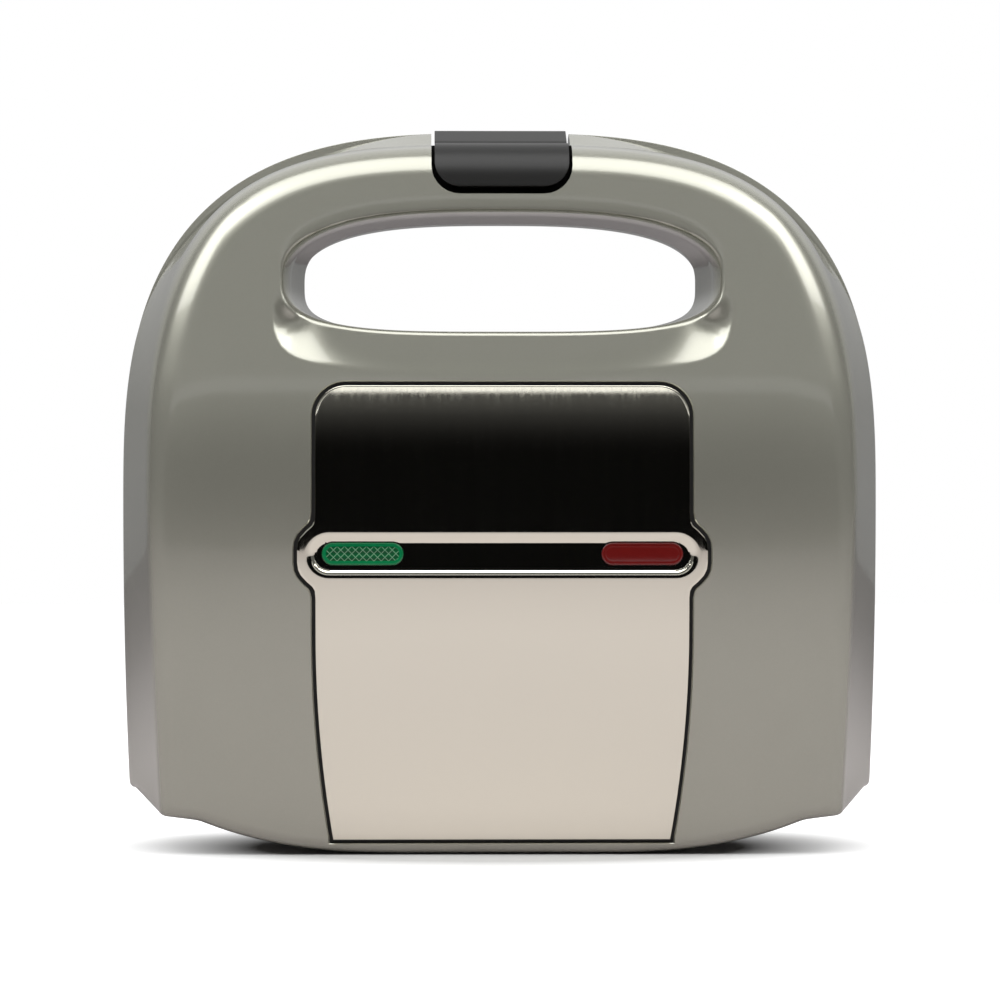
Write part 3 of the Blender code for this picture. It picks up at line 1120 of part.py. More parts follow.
outer_line = offset_line(handle_line(), LATCH_PROUD)
inner_line = offset_line(handle_line(), LATCH_PROUD - LATCH_THICKNESS)
middle_line = offset_line(handle_line(), LATCH_PROUD - LATCH_THICKNESS / 2)
apron_top = BODY_TOP_Z + LATCH_PROUD
apron_low = apron_top - LATCH_THICKNESS
section = [(-LATCH_REACH, apron_top)] + [tuple(p) for p in outer_line] + [tuple(p) for p in inner_line[::-1]]
section[1] = (0, apron_top)
section[-1] = (0, apron_low)
section += [(HOOK_THICKNESS - LATCH_REACH, apron_low), (HOOK_THICKNESS - LATCH_REACH, apron_low - HOOK_DROP),
            (-LATCH_REACH, apron_low - HOOK_DROP)]
latch = bar("latch", section, -LATCH_HALF_WIDTH, LATCH_HALF_WIDTH, BLACK)
tongue_outline = rounded_rectangle(LATCH_HALF_WIDTH, LATCH_LOW_Z, BODY_TOP_Z + LATCH_CORNER * 2, LATCH_CORNER)
tongue_shape = slab("tongue_shape", tongue_outline, PARTING_Y - LID_DEPTH, PARTING_Y + LATCH_REACH + OVERRUN)
change(latch, tongue_shape, "INTERSECT")
spine = [tuple(p) for p in middle_line[2:-2]]
ear_section = spine + [(PIVOT_DEPTH, PIVOT_Z - PIVOT_BOSS_RADIUS),
                       (PIVOT_DEPTH - PIVOT_BOSS_RADIUS / 2, PIVOT_Z), (PIVOT_DEPTH, PIVOT_Z + PIVOT_BOSS_RADIUS)]
pivot = (0, PARTING_Y - PIVOT_DEPTH, PIVOT_Z)
for i, sign in enumerate((-1, 1)):
    low_x, high_x = sorted((sign * EAR_X, sign * (EAR_X + EAR_THICKNESS)))
    join(latch, bar(f"latch_ear_{i}", ear_section, low_x, high_x),
         cylinder(f"latch_hub_{i}", PIVOT_BOSS_RADIUS, low_x, high_x, "X", pivot, sides=20))
    near = sign * (EAR_X + EAR_THICKNESS + LUG_GAP)
    low_x, high_x = sorted((near, near + sign * LUG_THICKNESS))
    foot = box(f"lug_foot_{i}", (low_x, PARTING_Y - PIVOT_DEPTH, PIVOT_Z - PIVOT_BOSS_RADIUS),
               (high_x, PARTING_Y - LINER_OUT / 2, PIVOT_Z + PIVOT_BOSS_RADIUS))
    join(lid_frame, foot, cylinder(f"lug_hub_{i}", PIVOT_BOSS_RADIUS, low_x, high_x, "X", pivot, sides=20))
PIVOT_REACH = EAR_X + EAR_THICKNESS + LUG_GAP + LUG_THICKNESS
pivot_end = PIVOT_REACH + OVERRUN
pivot_bore = cylinder("pivot_bore", PIVOT_RADIUS + FIT, -pivot_end, pivot_end, "X", pivot, sides=20)
cut(latch, pivot_bore)
cut(lid_frame, pivot_bore)
cylinder("latch_pin", PIVOT_RADIUS, -PIVOT_REACH, PIVOT_REACH, "X", pivot, ZINC, sides=20)
catch_rib = box("catch_rib", (-CATCH_HALF_WIDTH, PARTING_Y + LINER_OUT / 2, PIVOT_Z),
                (CATCH_HALF_WIDTH, PARTING_Y + LINER_OUT + CATCH_THICKNESS, apron_low - HOOK_DROP - FIT))
join(base_frame, catch_rib)
turns = np.arange(SPRING_TURNS * SPRING_STEPS + 1) / SPRING_STEPS
spring_x = (turns / SPRING_TURNS - 0.5) * SPRING_LENGTH
spring_y = pivot[1] + SPRING_RADIUS * np.cos(2 * np.pi * turns)
spring_z = pivot[2] + SPRING_RADIUS * np.sin(2 * np.pi * turns)
coil = list(zip(spring_x, spring_y, spring_z))
first_leg = (coil[0][0], coil[0][1], pivot[2] - SPRING_LEG)
last_leg = (coil[-1][0], coil[-1][1], pivot[2] + SPRING_LEG)
tube("latch_spring", [first_leg] + coil + [last_leg], SPRING_WIRE_RADIUS, ZINC, 1)

# Parents on the joint axes

LID_PIECES = ("lid_shell", "lid_frame", "trim_plate", "green_lens", "red_lens", "green_lamp", "red_lamp",
              "lamp_carrier", "upper_plate", "upper_heater", "upper_reflector", "thermostat",
              "thermostat_bracket", "latch_pin", "latch_spring")
LID_PIECES += tuple(f"lid_screw_{name}" for name in CORNER_NAMES)


def axle(name, place, parent=None):
    """An empty on a joint's axis."""
    made = bpy.data.objects.new(name, None)
    PARTS.objects.link(made)
    made.empty_display_size = KNUCKLE_RADIUS
    made.location = Vector(place) - (parent.location if parent else Vector())
    made.parent = parent
    return made


def carry(piece, parent, place):
    """Parents a piece to an empty with its place in the world unchanged."""
    piece.location = piece.location - Vector(place)
    piece.parent = parent


lid_hinge = axle("lid_hinge", (0, PARTING_Y, HINGE_Z))
latch_pivot = axle("latch_pivot", pivot, lid_hinge)
for name in LID_PIECES:
    carry(bpy.data.objects[name], lid_hinge, (0, PARTING_Y, HINGE_Z))
carry(latch, latch_pivot, pivot)
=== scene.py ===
import bmesh
import bpy
import numpy as np
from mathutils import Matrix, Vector


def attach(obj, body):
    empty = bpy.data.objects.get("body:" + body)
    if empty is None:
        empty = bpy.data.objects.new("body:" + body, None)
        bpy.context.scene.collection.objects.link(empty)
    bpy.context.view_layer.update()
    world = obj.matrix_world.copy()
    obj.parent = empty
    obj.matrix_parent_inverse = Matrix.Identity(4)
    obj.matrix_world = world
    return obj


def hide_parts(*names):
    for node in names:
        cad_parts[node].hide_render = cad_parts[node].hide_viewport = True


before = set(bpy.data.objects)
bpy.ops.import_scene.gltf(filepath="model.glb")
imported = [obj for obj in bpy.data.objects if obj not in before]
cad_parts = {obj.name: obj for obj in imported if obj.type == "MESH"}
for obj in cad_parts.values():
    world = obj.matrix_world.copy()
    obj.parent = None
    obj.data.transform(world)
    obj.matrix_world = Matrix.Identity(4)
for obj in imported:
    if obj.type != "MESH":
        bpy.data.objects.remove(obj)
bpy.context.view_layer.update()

# Lid cover: a moulded plastic shell with the front half of the carrying handle. It is painted champagne grey with
# metal flake under a satin clear coat. Its shape is drawn in millimetres: rings run round the handle's opening,
# from the parting edge over the shoulder to the crowned face, and down into the opening.

MM = 0.001
PARTING = 1.15
CENTRE_Z = 105.5
HOLE_Z = 171.6
HINGE_X, HINGE_Z, KNUCKLE_CLEAR = 70.0, 14.0, 6.2
LENS_X = 41.3
WALL = 3.0
CORNER_X, CORNER_Z = 113.0, 18.2
HALF = np.radians(np.concatenate([np.arange(0, 140, 0.75), np.arange(140, 151, 0.25), np.arange(151, 180, 0.75)]))
TURNS = np.concatenate([HALF, 2 * np.pi - HALF[:0:-1]])
LID, BASE = -1, 1


def hex_colour(code, alpha=1.0):
    """A linear colour from an sRGB hex value."""
    srgb = np.array([int(code[i:i + 2], 16) / 255 for i in (1, 3, 5)])
    linear = np.where(srgb <= 0.04045, srgb / 12.92, ((srgb + 0.055) / 1.055) ** 2.4)
    return (*linear, alpha)


def wire(tree, kind, links=None, **settings):
    """Adds a node, sets its attributes and sockets by name, and links its inputs by name or number."""
    node = tree.nodes.new(kind)
    for key, value in settings.items():
        label = key.replace("_", " ").title()
        if label in node.inputs:
            node.inputs[label].default_value = value
        else:
            setattr(node, key, value)
    for socket, source in (links or {}).items():
        tree.links.new(source, node.inputs[socket])
    return node


def new_material(name, **sockets):
    """A Principled material with constants on its own sockets, and its object coordinates."""
    made = bpy.data.materials.new(name)
    made.use_nodes = True
    tree = made.node_tree
    shader = tree.nodes["Principled BSDF"]
    for key, value in sockets.items():
        shader.inputs[key.replace("_", " ")].default_value = value
    return made, tree, shader, wire(tree, "ShaderNodeTexCoord").outputs["Object"]


def add_mesh(name, points, faces, material, smooth=40):
    """A piece from points in millimetres and faces, smooth up to an angle in degrees."""
    data = bpy.data.meshes.new(name)
    data.from_pydata((np.asarray(points) * MM).tolist(), [], np.asarray(faces).tolist())
    data.validate()
    piece = bpy.data.objects.new(name, data)
    bpy.context.scene.collection.objects.link(piece)
    shell = bmesh.new()
    shell.from_mesh(data)
    bmesh.ops.remove_doubles(shell, verts=shell.verts, dist=1e-6)
    bmesh.ops.recalc_face_normals(shell, faces=shell.faces)
    shell.to_mesh(data)
    shell.free()
    if material is not None:
        data.materials.append(material)
    data.shade_smooth()
    data.set_sharp_from_angle(angle=np.radians(smooth))
    return piece


def grid_faces(rows, columns, close_rows=False, close_columns=True):
    """Quads of a grid of rows by columns, each way closed on itself or not."""
    i = np.arange(rows if close_rows else rows - 1)
    j = np.arange(columns if close_columns else columns - 1)
    a, b = np.meshgrid(i, j, indexing="ij")
    a, b = a.ravel(), b.ravel()
    c, d = (a + 1) % rows, (b + 1) % columns
    return np.stack([a * columns + b, a * columns + d, c * columns + d, c * columns + b], axis=1)


def rim_of(rows, columns):
    """The indices round a grid's edge, in order."""
    index = np.arange(rows * columns).reshape(rows, columns)
    return np.concatenate([index[0, :-1], index[:-1, -1], index[-1, :0:-1], index[:0:-1, 0]])


def close_ends(piece):
    """Fills a piece's open ends and turns its faces outwards."""
    shell = bmesh.new()
    shell.from_mesh(piece.data)
    bmesh.ops.holes_fill(shell, edges=shell.edges)
    bmesh.ops.recalc_face_normals(shell, faces=shell.faces)
    shell.to_mesh(piece.data)
    shell.free()
    return piece


def cut_with(piece, *tools):
    """Cuts tools out of a piece for good, and deletes them."""
    for tool in tools:
        step = piece.modifiers.new("cut", "BOOLEAN")
        step.operation = "DIFFERENCE"
        step.solver = "EXACT"
        step.object = tool
    bpy.context.view_layer.update()
    shape = bpy.data.meshes.new_from_object(piece.evaluated_get(bpy.context.evaluated_depsgraph_get()))
    materials = list(piece.data.materials)
    piece.modifiers.clear()
    piece.data = shape
    shape.materials.clear()
    for material in materials:
        shape.materials.append(material)
    shape.shade_smooth()
    shape.set_sharp_from_angle(angle=np.radians(35))
    for tool in tools:
        bpy.data.objects.remove(tool)
    return piece


def round_off(values, width):
    """Values smoothed along their first axis with a triangular window, ends kept."""
    window = np.concatenate([np.arange(1, width + 1), np.arange(width - 1, 0, -1)]).astype(float)
    window /= window.sum()
    reach = width - 1
    padded = np.concatenate([2 * values[:1] - values[1:reach + 1][::-1], values,
                             2 * values[-1:] - values[-reach - 1:-1][::-1]])
    return np.stack([np.convolve(column, window, "valid") for column in padded.T], axis=1)


def arch(half_width, height, power, floor=CENTRE_Z):
    """The arch x/a to the power plus z/b to the power = 1, from its top down to a floor height."""
    lean = np.linspace(0, np.pi / 2, 700)
    x = half_width * np.sin(lean) ** (2 / power)
    z = CENTRE_Z + height * np.cos(lean) ** (2 / power)
    return np.stack([x, z], axis=1)[z >= floor]


def radii_of(*parts):
    """Radius about the outline's centre at even angles of half a turn, from the top, corners slightly rounded."""
    points = np.concatenate([np.asarray(p, float).reshape(-1, 2) for p in parts])
    fine = np.concatenate([np.linspace(a, b, max(2, int(np.hypot(*(b - a)) / 0.1)))
                           for a, b in zip(points, points[1:])])
    angle = np.arctan2(fine[:, 0], fine[:, 1] - CENTRE_Z)
    radius = np.hypot(fine[:, 0], fine[:, 1] - CENTRE_Z)
    order = np.argsort(angle)
    even = np.interp(HALF_TURN, angle[order], radius[order])
    mirrored = np.concatenate([even[:0:-1][-3:], even, even[-2::-1][:3]])
    return np.convolve(mirrored, np.array([1, 2, 3, 4, 3, 2, 1]) / 16, "valid")


HALF_TURN = np.linspace(0, np.pi, 721)
side_drop = np.linspace(0, 1, 40)[:, None]
side_line = np.hstack([115 - 2 * side_drop**2, CENTRE_Z - (CENTRE_Z - CORNER_Z) * side_drop])
foot_share = np.linspace(1, 0, 60)[:, None]
foot_line = np.hstack([28 + 62.4 * foot_share, 10 * foot_share**2.6])
R_PARTING = radii_of(arch(115, 112.7, 2.9), side_line, (0, 14))
R_CREASE = radii_of(arch(105.5, 107.5, 3.3), (102.5, 11.3), foot_line, (0, 0))
R_BASE = radii_of(arch(115, 112.7, 2.9), side_line, (101, 9.5), (88, 7.5), (60, 0), (0, 0))
SHARE = HALF_TURN / np.pi
STOPS = np.array([0, 30, 50, 75, 90, 125, 140, 180]) / 180
# The fall of the lip and the width of the shoulder: each its largest value and its shares at the stops
LIP = 16, (1, 1, 0.75, 0.21, 0.17, 0.17, 0.24, 0.24)
SHOULDER = 14, (0.8, 0.85, 1, 0.6, 0.45, 0.45, 0.35, 0.35)
R_LID = R_PARTING - 3.2 * np.sin(np.pi * np.clip((SHARE - 8 / 180) / (60 / 180), 0, 1)) ** 2


def eased(values, share=SHARE):
    """A table of values at the stops from the top to the bottom, smoothed over 8 degrees to each side."""
    even = np.interp(SHARE, STOPS, values)
    padded = np.concatenate([even[32:0:-1], even, even[-2:-34:-1]])
    return np.interp(share, SHARE, np.convolve(padded, np.hanning(67)[1:-1] / np.hanning(67)[1:-1].sum(), "valid"))


def smooth_step(value, low, high):
    """0 below low, 1 above high, with an even S between."""
    t = np.clip((value - low) / (high - low), 0, 1)
    return t * t * (3 - 2 * t)


def face_depth(x, z):
    """Depth of the lid's crown: parabolas up and down from its crest, running out straight to the handle, falling to
    the sides, with a soft flute between the middle and each side of the lower half."""
    rise = z - 108
    straight = np.clip(rise - 36, 0, None)
    crown = 46 - (rise - straight)**2 / np.where(rise > 0, 600, 756) - 0.12 * straight
    inward = np.clip((105.5 - np.abs(x)) / 24, 0, 1)
    flute = 0.5 * np.exp(-((np.abs(x) - 95.5) / 3.2) ** 2) * smooth_step(88 - z, 0, 60)
    return crown - 5 * (1 - np.sin(inward * np.pi / 2)) - flute


def flat(radius):
    """x and z of a ring of radii about the outline's centre."""
    return radius * np.sin(HALF_TURN), CENTRE_Z + radius * np.cos(HALF_TURN)


CORNER_ANGLE = np.arctan2(CORNER_X, CORNER_Z - CENTRE_Z)


def spanned(low, low_depth, high, high_depth, corner, t):
    """A ring between two outlines, as radius and depth at even angles. The low outline's lower corner is led to the
    high outline's, at another angle, so that the face between them is a chamfer."""
    swing = (corner - CORNER_ANGLE) * np.clip(1 - np.abs(HALF_TURN - corner) / 0.4, 0, 1)
    angle = HALF_TURN - swing
    radius = np.interp(angle, HALF_TURN, low)
    x = radius * np.sin(angle) * (1 - t) + high * np.sin(HALF_TURN) * t
    z = radius * np.cos(angle) * (1 - t) + high * np.cos(HALF_TURN) * t
    depth = np.interp(angle, HALF_TURN, low_depth) * (1 - t) + high_depth * t
    turn = np.arctan2(x, z)
    return np.interp(HALF_TURN, turn, np.hypot(x, z)), np.interp(HALF_TURN, turn, depth)


def shoulder_rise(t):
    """Rise of the lid's shoulder over its width: a quarter of an oval."""
    return (1 - (1 - t) ** 2.3) ** (1 / 2.3)


def lid_profile():
    """Rings of (radius, depth) from the parting edge over the drafted wall and facet to the shoulder's inner end."""
    inset = 4.9 * eased((1, 0.95, 0.75, 0.1, 0.1, 0.1, 0.1, 0.1))
    outer = np.minimum(R_PARTING - inset, R_LID)
    lip = LIP[0] * eased(LIP[1])
    width = SHOULDER[0] * eased(SHOULDER[1])
    low = 14 * eased((1, 0.9, 0.7, 0.25, 0.2, 0.2, 0.2, 0.2))
    crease = face_depth(*flat(R_CREASE)) - lip
    low = np.minimum(low, crease)
    radii = [R_LID - 0.5, R_LID - 0.12]
    depths = [0.3 + 0 * low, 0.42 + 0 * low]
    for t in np.linspace(0, 1, 13)[1:]:
        radii.append(R_LID + (outer - R_LID) * t)
        depths.append(0.7 + (low - 0.7) * t)
    corner = np.arctan2(102.5, 11.3 - CENTRE_Z)
    for t in np.linspace(0, 1, 17)[1:]:
        radius, depth = spanned(outer, low, R_CREASE, crease, corner, t)
        radii.append(radius)
        depths.append(depth)
    for t in np.linspace(0, 1, 17)[1:]:
        radius = R_CREASE - width * t
        radii.append(radius)
        depths.append(crease + (face_depth(*flat(radius)) - crease) * shoulder_rise(t))
    radii, depths = np.array(radii), np.array(depths)
    radii[2:], depths[2:] = round_off(radii[2:], 3), round_off(depths[2:], 3)
    return radii, depths


def about_hole(radii, depths):
    """The rings resampled at even angles about the handle opening's middle: arrays of x, depth and z."""
    columns = []
    for radius, depth in zip(radii, depths):
        x, z = flat(radius)
        turn = np.arctan2(x, z - HOLE_Z)
        even = np.minimum(TURNS, 2 * np.pi - TURNS)
        side = np.where(TURNS > np.pi, -1, 1)
        columns.append((side * np.interp(even, turn, x), np.interp(even, turn, depth), np.interp(even, turn, z)))
    return (np.array(c) for c in zip(*columns))


def hole_ring(grow):
    """The handle opening's outline and its outward normals at even angles about its middle: an oval with fuller
    lower corners, grown by a margin."""
    lean = np.linspace(0, 2 * np.pi, 4001)
    up = np.cos(lean) >= 0
    power = np.where(up, 2.8, 3.6)
    x = (59.7 + grow) * np.sign(np.sin(lean)) * np.abs(np.sin(lean)) ** (2 / power)
    z = (np.where(up, 18.7, 14.6) + grow) * np.sign(np.cos(lean)) * np.abs(np.cos(lean)) ** (2 / power)
    turn = np.unwrap(np.arctan2(x, z))
    out_x, out_z = np.gradient(z), -np.gradient(x)
    length = -np.hypot(out_x, out_z)
    return (np.interp(TURNS, turn, x), HOLE_Z + np.interp(TURNS, turn, z),
            np.interp(TURNS, turn, out_x / length), np.interp(TURNS, turn, out_z / length))


def by_side(below, ends, above, up):
    """A length below, at the ends of and above the opening, blended by how far its outline faces up."""
    return np.where(up < 0, ends + (below - ends) * np.abs(up) ** 1.5, ends + (above - ends) * np.abs(up) ** 1.5)


def shell_rings(radii, depths, face, slope, edge, draft, corner_drop=0.0, grow=0.0, steps=44, rim_steps=22,
                wall_steps=12):
    """All rings of a cover: its outer profile, the face in to the opening, the rim and the opening's wall. The rim
    falls off over its reach, as drop * share**1.5 above and as a dish, steep at its start, below. Then it turns over
    an oval edge into the wall, which leans in to the parting plane. Slope is (reach, drop), edge is (width, depth),
    each given below, at the ends and above; the lower corners drop further."""
    x, depth, z = about_hole(radii, depths)
    hole_x, hole_z, out_x, out_z = hole_ring(grow)
    reach, drop, width, turn_in, lean = (by_side(*sizes, out_z) for sizes in (*slope, *edge, draft))
    corner = 6.75 * out_x**2 * out_z**4 * (out_z < 0)
    drop, reach = drop + corner_drop * corner, reach + corner_drop * 0.6 * corner
    ring_x, ring_y, ring_z = [], [], []
    for t in np.linspace(1, 0, rim_steps + 1) ** 1.5:
        away = lean + (reach + 0.5) * t
        px, pz = hole_x + out_x * away, hole_z + out_z * away
        rolled = 1 - np.clip(((reach + 0.5) * t) / width, 0, 1)
        share = np.clip(1 - (reach + 0.5) * t / reach, 0, 1)
        fall = drop * (1 - (1 - share) ** 2.2 + (share**1.5 - 1 + (1 - share) ** 2.2) * smooth_step(out_z, -0.5, 0.1))
        ring_x.append(px)
        ring_z.append(pz)
        ring_y.append(face(px, pz) - fall - turn_in * (1 - np.sqrt(1 - rolled**2)))
    between = []
    for t in np.linspace(1, 0, steps + 1)[1:-1]:
        px, pz = ring_x[0] + (x[-1] - ring_x[0]) * t, ring_z[0] + (z[-1] - ring_z[0]) * t
        between.append((px, face(px, pz), pz))
    top = ring_y[-1]
    for t in np.linspace(1, 0, wall_steps + 1)[1:]:
        ring_x.append(hole_x + out_x * lean * t)
        ring_z.append(hole_z + out_z * lean * t)
        ring_y.append(0.3 + (top - 0.3) * t)
    middle = [np.array(rows) for rows in zip(*between)]
    outer, rim = (x, depth, z), (ring_x, ring_y, ring_z)
    return tuple(np.vstack(parts) for parts in zip(outer, middle, rim))


def cover(name, side, outside, inside, material):
    """A closed cover from its outer and inner rings."""
    rings = [np.concatenate([a, b[::-1]]) for a, b in zip(outside, inside)]
    x, depth, z = rings
    points = np.stack([x, PARTING + side * depth, z], axis=2).reshape(-1, 3)
    return add_mesh(name, points, grid_faces(len(x), len(TURNS), close_rows=True), material)


def lid_outer_depth(x, z):
    """Depth of the lid's outside at any place on its front, its rounded shoulder included."""
    angle = np.abs(np.arctan2(x, z - CENTRE_Z))
    radius = np.hypot(x, z - CENTRE_Z)
    crease = np.interp(angle, HALF_TURN, R_CREASE)
    width = SHOULDER[0] * eased(SHOULDER[1], angle / np.pi)
    lip = LIP[0] * eased(LIP[1], angle / np.pi)
    edge = crease / np.maximum(radius, 1)
    low = face_depth(x * edge, CENTRE_Z + (z - CENTRE_Z) * edge) - lip
    share = np.clip((crease - radius) / width, 0, 1)
    return np.where(share < 1, low + (face_depth(x, z) - low) * shoulder_rise(share), face_depth(x, z))


PLATE_TOP, PLATE_FOOT, BAND_Z, LENS_Z = 139.8, 4.6, 89.4, 90.0


def plate_half_width(z, grow):
    """Half the trim plate's width at a height: round upper corners, ears at the band, a drawn-in foot."""
    corner = 9 + grow
    over = np.clip(z - (PLATE_TOP + grow - corner), 0, corner)
    half = 55.3 + grow - corner + np.sqrt(np.clip(corner**2 - over**2, 0, None))
    u = np.abs(z - BAND_Z) / (9.6 + grow / 2)
    half = half + 5.4 * np.interp(u, (0.2, 0.42, 0.6, 0.8, 0.95, 1.08, 1.2), (1, 0.95, 0.8, 0.48, 0.17, 0.04, 0))
    return half - 5.0 * np.clip((66 - z) / 61.4, 0, 1) ** 2


def band_dip(x, z):
    """How far the plate's sunk band lies below its surface: a stadium with an upright floor and sides that steepen
    down to it as the 3.5th power of their share."""
    away = np.hypot(np.maximum(np.abs(x) - 51.3, 0), z - BAND_Z)
    floor = lid_outer_depth(x, np.full_like(z, BAND_Z)) - 1.0
    return (lid_outer_depth(x, z) - floor) * np.clip((7.4 - away) / 3.1, 0, 1) ** 3.5


def plate_grid(grow):
    """x and z over the plate's outline grown by a margin, rows from the top down, closer at the band and the ends."""
    turn = np.linspace(0, np.pi / 2, 12)
    top = PLATE_TOP + grow
    z = np.concatenate([top - (9 + grow) * (1 - np.cos(turn)), np.linspace(top - 9 - grow, 100, 14)[1:],
                        np.linspace(100, 79, 56)[1:], np.linspace(79, PLATE_FOOT - grow, 40)[1:]])
    edge = np.linspace(0.8, 1, 26)
    share = np.concatenate([-edge[::-1], np.linspace(-0.8, 0.8, 50)[1:-1], edge])
    half = np.maximum(plate_half_width(z, grow), 1)
    return half[:, None] * share, np.repeat(z[:, None], len(share), axis=1)


def plate_body(name, layers, material):
    """A closed curved sheet through layers of (margin, height over the lid's surface, keeps the band), bottom first.
    Between the layers only their outlines are joined."""
    grids = []
    for grow, height, banded in layers:
        x, z = plate_grid(grow)
        depth = lid_outer_depth(x, z) + height - (band_dip(x, z) if banded else 0)
        grids.append(np.stack([x, PARTING - depth, z], axis=2))
    rows, columns = grids[0].shape[:2]
    around = rim_of(rows, columns)
    points = [g.reshape(-1, 3) for g in grids]
    faces = [grid_faces(rows, columns, close_columns=False) + k * rows * columns for k in (0, len(layers) - 1)]
    for k in range(len(layers) - 1):
        a = around + k * rows * columns
        b = around + (k + 1) * rows * columns
        faces.append(np.stack([a, np.roll(a, -1), np.roll(b, -1), b], axis=1))
    piece = add_mesh(name, np.concatenate(points), np.concatenate(faces), material)
    loose = bmesh.new()
    loose.from_mesh(piece.data)
    bmesh.ops.delete(loose, geom=[v for v in loose.verts if not v.link_faces], context="VERTS")
    loose.to_mesh(piece.data)
    loose.free()
    return piece


def lens_slot(name, middle, half_length, radius, near, far, material=None):
    """A stadium-shaped bar along the depth, for the lens windows."""
    turn = np.linspace(0, 2 * np.pi, 64, endpoint=False)
    x = middle + np.sign(np.sin(turn)) * (half_length - radius) + radius * np.sin(turn)
    z = LENS_Z + radius * np.cos(turn)
    ends = np.repeat(np.array([near, far])[:, None], 64, axis=1)
    points = np.stack([np.tile(x, (2, 1)), PARTING - ends, np.tile(z, (2, 1))], axis=2).reshape(-1, 3)
    piece = add_mesh(name, points, grid_faces(2, 64), material)
    return close_ends(piece)


def bar_round_hinge(name, middle):
    """The cutter that clears a hinge's knuckles: a round bar along X."""
    turn = np.linspace(0, 2 * np.pi, 40, endpoint=False)
    ends = np.array([middle - 17.9, middle + 17.9])
    x = np.repeat(ends[:, None], 40, axis=1)
    y = np.tile(PARTING + KNUCKLE_CLEAR * np.sin(turn), (2, 1))
    z = np.tile(HINGE_Z + KNUCKLE_CLEAR * np.cos(turn), (2, 1))
    piece = add_mesh(name, np.stack([x, y, z], axis=2).reshape(-1, 3), grid_faces(2, 40), None)
    return close_ends(piece)


def hinge_notches():
    """The cutters for both hinges."""
    return [bar_round_hinge(f"hinge_notch_{i}", side * HINGE_X) for i, side in enumerate((-1, 1))]


def lens_windows():
    """The cutters for both lenses."""
    return [lens_slot(f"lens_window_{i}", side * LENS_X, 12.4, 3.7, 30, 47) for i, side in enumerate((-1, 1))]


def block(name, low, high, material=None, corner=0.0, along=1):
    """A block between two corners in millimetres, its outline rounded by a radius in the plane across one axis."""
    low, high = np.array(low, float), np.array(high, float)
    a, b = [k for k in range(3) if k != along]
    turn = np.linspace(0, np.pi / 2, 8) if corner else np.zeros(1)
    ring = []
    for quarter, (u, v) in enumerate(((1, 1), (0, 1), (0, 0), (1, 0))):
        angle = turn + quarter * np.pi / 2
        centre_a = (high if u else low)[a] - (1 if u else -1) * corner
        centre_b = (high if v else low)[b] - (1 if v else -1) * corner
        ring.append(np.stack([centre_a + corner * np.cos(angle), centre_b + corner * np.sin(angle)], axis=1))
    ring = np.concatenate(ring)
    count = len(ring)
    points = np.zeros((2 * count, 3))
    points[:, [a, b]] = np.tile(ring, (2, 1))
    points[:count, along], points[count:, along] = low[along], high[along]
    piece = add_mesh(name, points, grid_faces(2, count), material)
    return close_ends(piece)


# Sprayed metallic paint on moulded ABS: aluminium flakes differ a little in tone and gloss, and a satin clear coat
# with a faint orange peel carries the sharper reflections. Real flakes are finer than a pixel, so they are drawn
# about 0.4 mm apart, as coarse as they need to be to show
paint, tree, shader, coords = new_material("metallic_paint_on_abs", Metallic=0.68, Coat_Weight=0.8, Coat_Roughness=0.06)
flakes = wire(tree, "ShaderNodeTexVoronoi", {"Vector": coords}, scale=2600.0)
cloud = wire(tree, "ShaderNodeTexNoise", {"Vector": coords}, scale=40.0, detail=3.0)
tone = wire(tree, "ShaderNodeMapRange", {"Value": flakes.outputs["Color"]}, to_min=0.985, to_max=1.015)
colour = wire(tree, "ShaderNodeMix", {"Factor": cloud.outputs["Fac"]}, data_type="RGBA",
              A=hex_colour("#a2a296"), B=hex_colour("#a6a69a"))
bright = wire(tree, "ShaderNodeHueSaturation", {"Color": colour.outputs["Result"], "Value": tone.outputs["Result"]})
tree.links.new(bright.outputs["Color"], shader.inputs["Base Color"])
gloss = wire(tree, "ShaderNodeMapRange", {"Value": flakes.outputs["Color"]}, to_min=0.262, to_max=0.27)
tree.links.new(gloss.outputs["Result"], shader.inputs["Roughness"])
peel = wire(tree, "ShaderNodeTexNoise", {"Vector": coords}, scale=700.0, detail=1.0)
ripple = wire(tree, "ShaderNodeBump", {"Height": peel.outputs["Fac"]}, strength=0.06, distance=0.0001)
tree.links.new(ripple.outputs["Normal"], shader.inputs["Normal"])

radii, depths = lid_profile()
LID_SLOPE = ((12.5, 6.0, 7.0), (0.9, 0.6, 0.5))
LID_EDGE = ((1.5, 3.2, 1.8), (2.0, 12.0, 14.0))
outside = shell_rings(radii, depths, face_depth, LID_SLOPE, LID_EDGE, (1.2, 3.2, 0.4), 3.2)
inner_rows = slice(2, None, 4)
inside = shell_rings(radii[inner_rows] - WALL, np.maximum(depths[inner_rows] - WALL, 0.3),
                     lambda x, z: face_depth(x, z) - WALL, LID_SLOPE, LID_EDGE, (1.2, 3.2, 0.4), 3.2,
                     grow=2.5, steps=20, rim_steps=10, wall_steps=3)
lid_cover = cover("lid_cover", LID, outside, inside, paint)
plate_seat = plate_body("plate_seat", ((1.1, -1.6, True), (1.1, -0.35, False), (1.4, 0.05, False), (1.4, 5.0, False)),
                        None)
latch_well = block("latch_well", (-21, PARTING - 50, 196.9), (21, PARTING + 1, 240), corner=8.5)
arm_slots = [block(f"arm_slot_{i}", (x - 5.3, PARTING - 5, HINGE_Z), (x + 5.3, PARTING + 1, 22.8))
             for i, x in enumerate((-HINGE_X, HINGE_X))]
cut_with(lid_cover, plate_seat, latch_well, *lens_windows(), *hinge_notches(), *arm_slots)
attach(lid_cover, "lid")
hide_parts("lid_shell")

